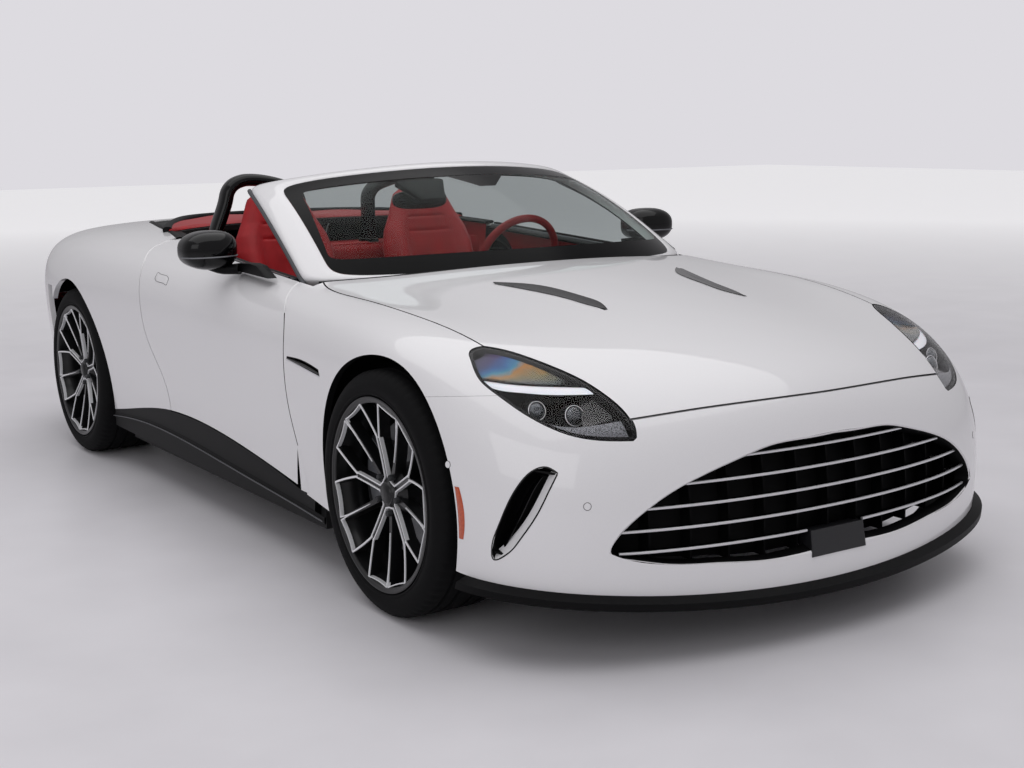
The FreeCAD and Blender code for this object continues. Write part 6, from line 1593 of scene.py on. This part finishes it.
# Rear bumper's fittings: a black moulded recess with a blank enamelled plate, reflectors, outlet
# grilles, and the exhaust's four tips, rolled from stainless steel.
plate_white = material("blank enamelled number plate", "d7d8d6", 0.35, Coat_Weight=0.4,
                       spots=(20, 0.32, 0.40, "d2d3d1", "dbdcda"))
plate_y = float(on_tail([0.0], [0.475], 0.0)[0, 1])
low_y = float(on_tail([0.0], [0.420], 0.0)[0, 1])
recess = slab(oblong((0.290, plate_y + 0.001, 0.545), (0.290, low_y + 0.001, 0.402)),
              oblong((0.285, plate_y - 0.020, 0.540), (0.285, low_y - 0.020, 0.408)), black_plastic)
blank = slab(oblong((0.258, plate_y + 0.005, 0.530), (0.258, low_y + 0.005, 0.418)),
             oblong((0.258, plate_y - 0.002, 0.530), (0.258, low_y - 0.002, 0.418)), plate_white, 0.003)
piece("plate_recess", [recess, blank], "chassis", sharp=25)
for side, name in SIDES:
    row = np.linspace(side * 0.560, side * 0.760, 40)
    lens = carried(on_tail(row, 0.352, 0.0), oval(0.0055, 0.013, 16, 3.0), up=(0, 0, 1),
                   scale=np.clip(np.sin(np.linspace(0.15, 2.99, 40)), 0, 1) ** 0.2)
    grille_row = np.linspace(side * 0.40, side * 0.83, 60)
    mesh_part = carried(on_tail(grille_row, 0.312, 0.001), oval(0.004, 0.016, 16, 3.0), up=(0, 0, 1),
                        scale=np.clip(np.sin(np.linspace(0.15, 2.99, 60)), 0, 1) ** 0.3)
    piece("rear_reflector_" + name, [(*lens, red_lens), (*mesh_part, black_gloss)], "chassis")
steel = material("brushed stainless steel", "9a9b9e", 0.28, 1.0, spots=(18, 0.22, 0.36, "8d8e91", "a8a9ac"))
finish(steel, "exhaust_tips")
tip_parts = []
for share in (-0.52, -0.40, 0.40, 0.52):
    profile = [(0.0425, 0.040), (0.0430, 0.006), (0.0420, 0.0015), (0.0400, 0.0000), (0.0378, 0.0015),
               (0.0368, 0.006), (0.0366, 0.060), (0.0340, 0.090), (0.0001, 0.095)]
    tube_points, tube_faces = turned(profile, 64)
    at = np.stack([tube_points[..., 1] + share * HALF, float(along(2)) - 0.0045 - tube_points[..., 0],
                   tube_points[..., 2] + 0.186 * TALL], -1)
    tip_parts.append((at, tube_faces, steel))
piece("exhaust_trims", tip_parts, "chassis", ["exhaust_tips"])

# Boot lid edge: a slim moulded lip, painted like the body and glued along the ducktail, so that it
# lifts with the lid.
lip_x = np.linspace(-0.60, 0.60, 90) * HALF
lip_flat = np.stack([lip_x, float(along(1.955)) - 0.075 * (np.abs(lip_x) / 0.6) ** 2.5,
                     np.full(90, 0.95)], 1)
lip_point, lip_normal = cast(lip_flat, UPWARDS)
piece("boot_lip", [(*carried(lip_point + lip_normal * 0.003, oval(0.016, 0.0045, 16, 2.4),
                             scale=np.clip(np.sin(np.linspace(0.1, 3.04, 90)), 0, 1) ** 0.3),
                    white_paint)], "boot")

# Studio: a floor of pale paint, a plain sky of even light that looks a little paler than it
# shines, and two large soft lamps, one overhead and one at the front on the car's right.
floor_mesh = bpy.data.meshes.new("floor")
floor_mesh.from_pydata([(-30, -30, 0), (30, -30, 0), (30, 30, 0), (-30, 30, 0)], [], [(0, 1, 2, 3)])
floor = bpy.data.objects.new("floor", floor_mesh)
bpy.context.scene.collection.objects.link(floor)
floor_paint = material("pale studio floor paint", "e2e0e4", 0.38,
                       spots=(400, 0.34, 0.42, "dfdde1", "e5e3e7"))
floor_mesh.materials.append(floor_paint)
# Farther from the object the floor grows paler to the eye, as a studio sweep does
where = add(floor_paint, "ShaderNodeTexCoord")
reach = add(floor_paint, "ShaderNodeVectorMath", operation="LENGTH")
floor_paint.node_tree.links.new(where.outputs["Object"], reach.inputs[0])
fade = add(floor_paint, "ShaderNodeMapRange", Value=reach.outputs["Value"], From_Min=4.0, From_Max=16.0,
           To_Min=0.0, To_Max=0.46)
sight = add(floor_paint, "ShaderNodeLightPath")
glow = add(floor_paint, "ShaderNodeMath", operation="MULTIPLY")
floor_paint.node_tree.links.new(fade.outputs["Result"], glow.inputs[0])
floor_paint.node_tree.links.new(sight.outputs["Is Camera Ray"], glow.inputs[1])
into(floor_paint, "Emission Strength", glow.outputs["Value"])

world = bpy.data.worlds.new("studio")
bpy.context.scene.world = world
world.use_nodes = True
sky = world.node_tree
backdrop = sky.nodes["Background"]
backdrop.inputs["Color"].default_value = linear("e6e4e8")
backdrop.inputs["Strength"].default_value = 0.50
seen = add(world, "ShaderNodeBackground", Color=linear("dddbe0"), Strength=1.0)
rays = add(world, "ShaderNodeLightPath")
either = add(world, "ShaderNodeMath", operation="MAXIMUM")
sky.links.new(rays.outputs["Is Camera Ray"], either.inputs[0])
sky.links.new(rays.outputs["Is Transmission Ray"], either.inputs[1])
mix = add(world, "ShaderNodeMixShader", Fac=either.outputs["Value"])
sky.links.new(backdrop.outputs["Background"], mix.inputs[1])
sky.links.new(seen.outputs["Background"], mix.inputs[2])
sky.links.new(mix.outputs["Shader"], sky.nodes["World Output"].inputs["Surface"])


def soft_lamp(name, place, aim, wide, tall, power):
    """Rectangular lamp turned towards a point."""
    lamp = bpy.data.lights.new(name, "AREA")
    lamp.shape = "RECTANGLE"
    lamp.size, lamp.size_y, lamp.energy = wide, tall, power
    made = bpy.data.objects.new(name, lamp)
    bpy.context.scene.collection.objects.link(made)
    made.location = place
    made.rotation_euler = (Vector(aim) - Vector(place)).to_track_quat("-Z", "Y").to_euler()
    return made


soft_lamp("overhead", (0, 0, 8.0), (0, 0, 0), 11, 13, 430)
soft_lamp("front side", (-9, -7.5, 5.5), (0, -0.5, 0.6), 10, 6, 190)

# Camera: a long-sided frame seen from the front right corner, at the place, height and lens from
# which the photograph was taken.
camera_data = bpy.data.cameras.new("view")
focal_pixels, picture_pixels, sensor_mm = 1487.28, 1024, 36
camera_data.sensor_width = sensor_mm
camera_data.lens = focal_pixels / picture_pixels * sensor_mm
camera_data.clip_end = 200
camera = bpy.data.objects.new("view", camera_data)
bpy.context.scene.collection.objects.link(camera)
right = Vector((0.83287507, -0.55334689, -0.01124013))
up = Vector((0.10492531, 0.13792363, 0.98486941))
ahead = Vector((0.54342414, 0.82145255, -0.17293324))
facing = Matrix((right, up, -ahead)).transposed()
camera.matrix_world = Matrix.Translation((-2.89625, -4.98916, 1.38535)) @ facing.to_4x4()
bpy.context.scene.camera = camera
bpy.context.scene.view_settings.view_transform = "Standard"
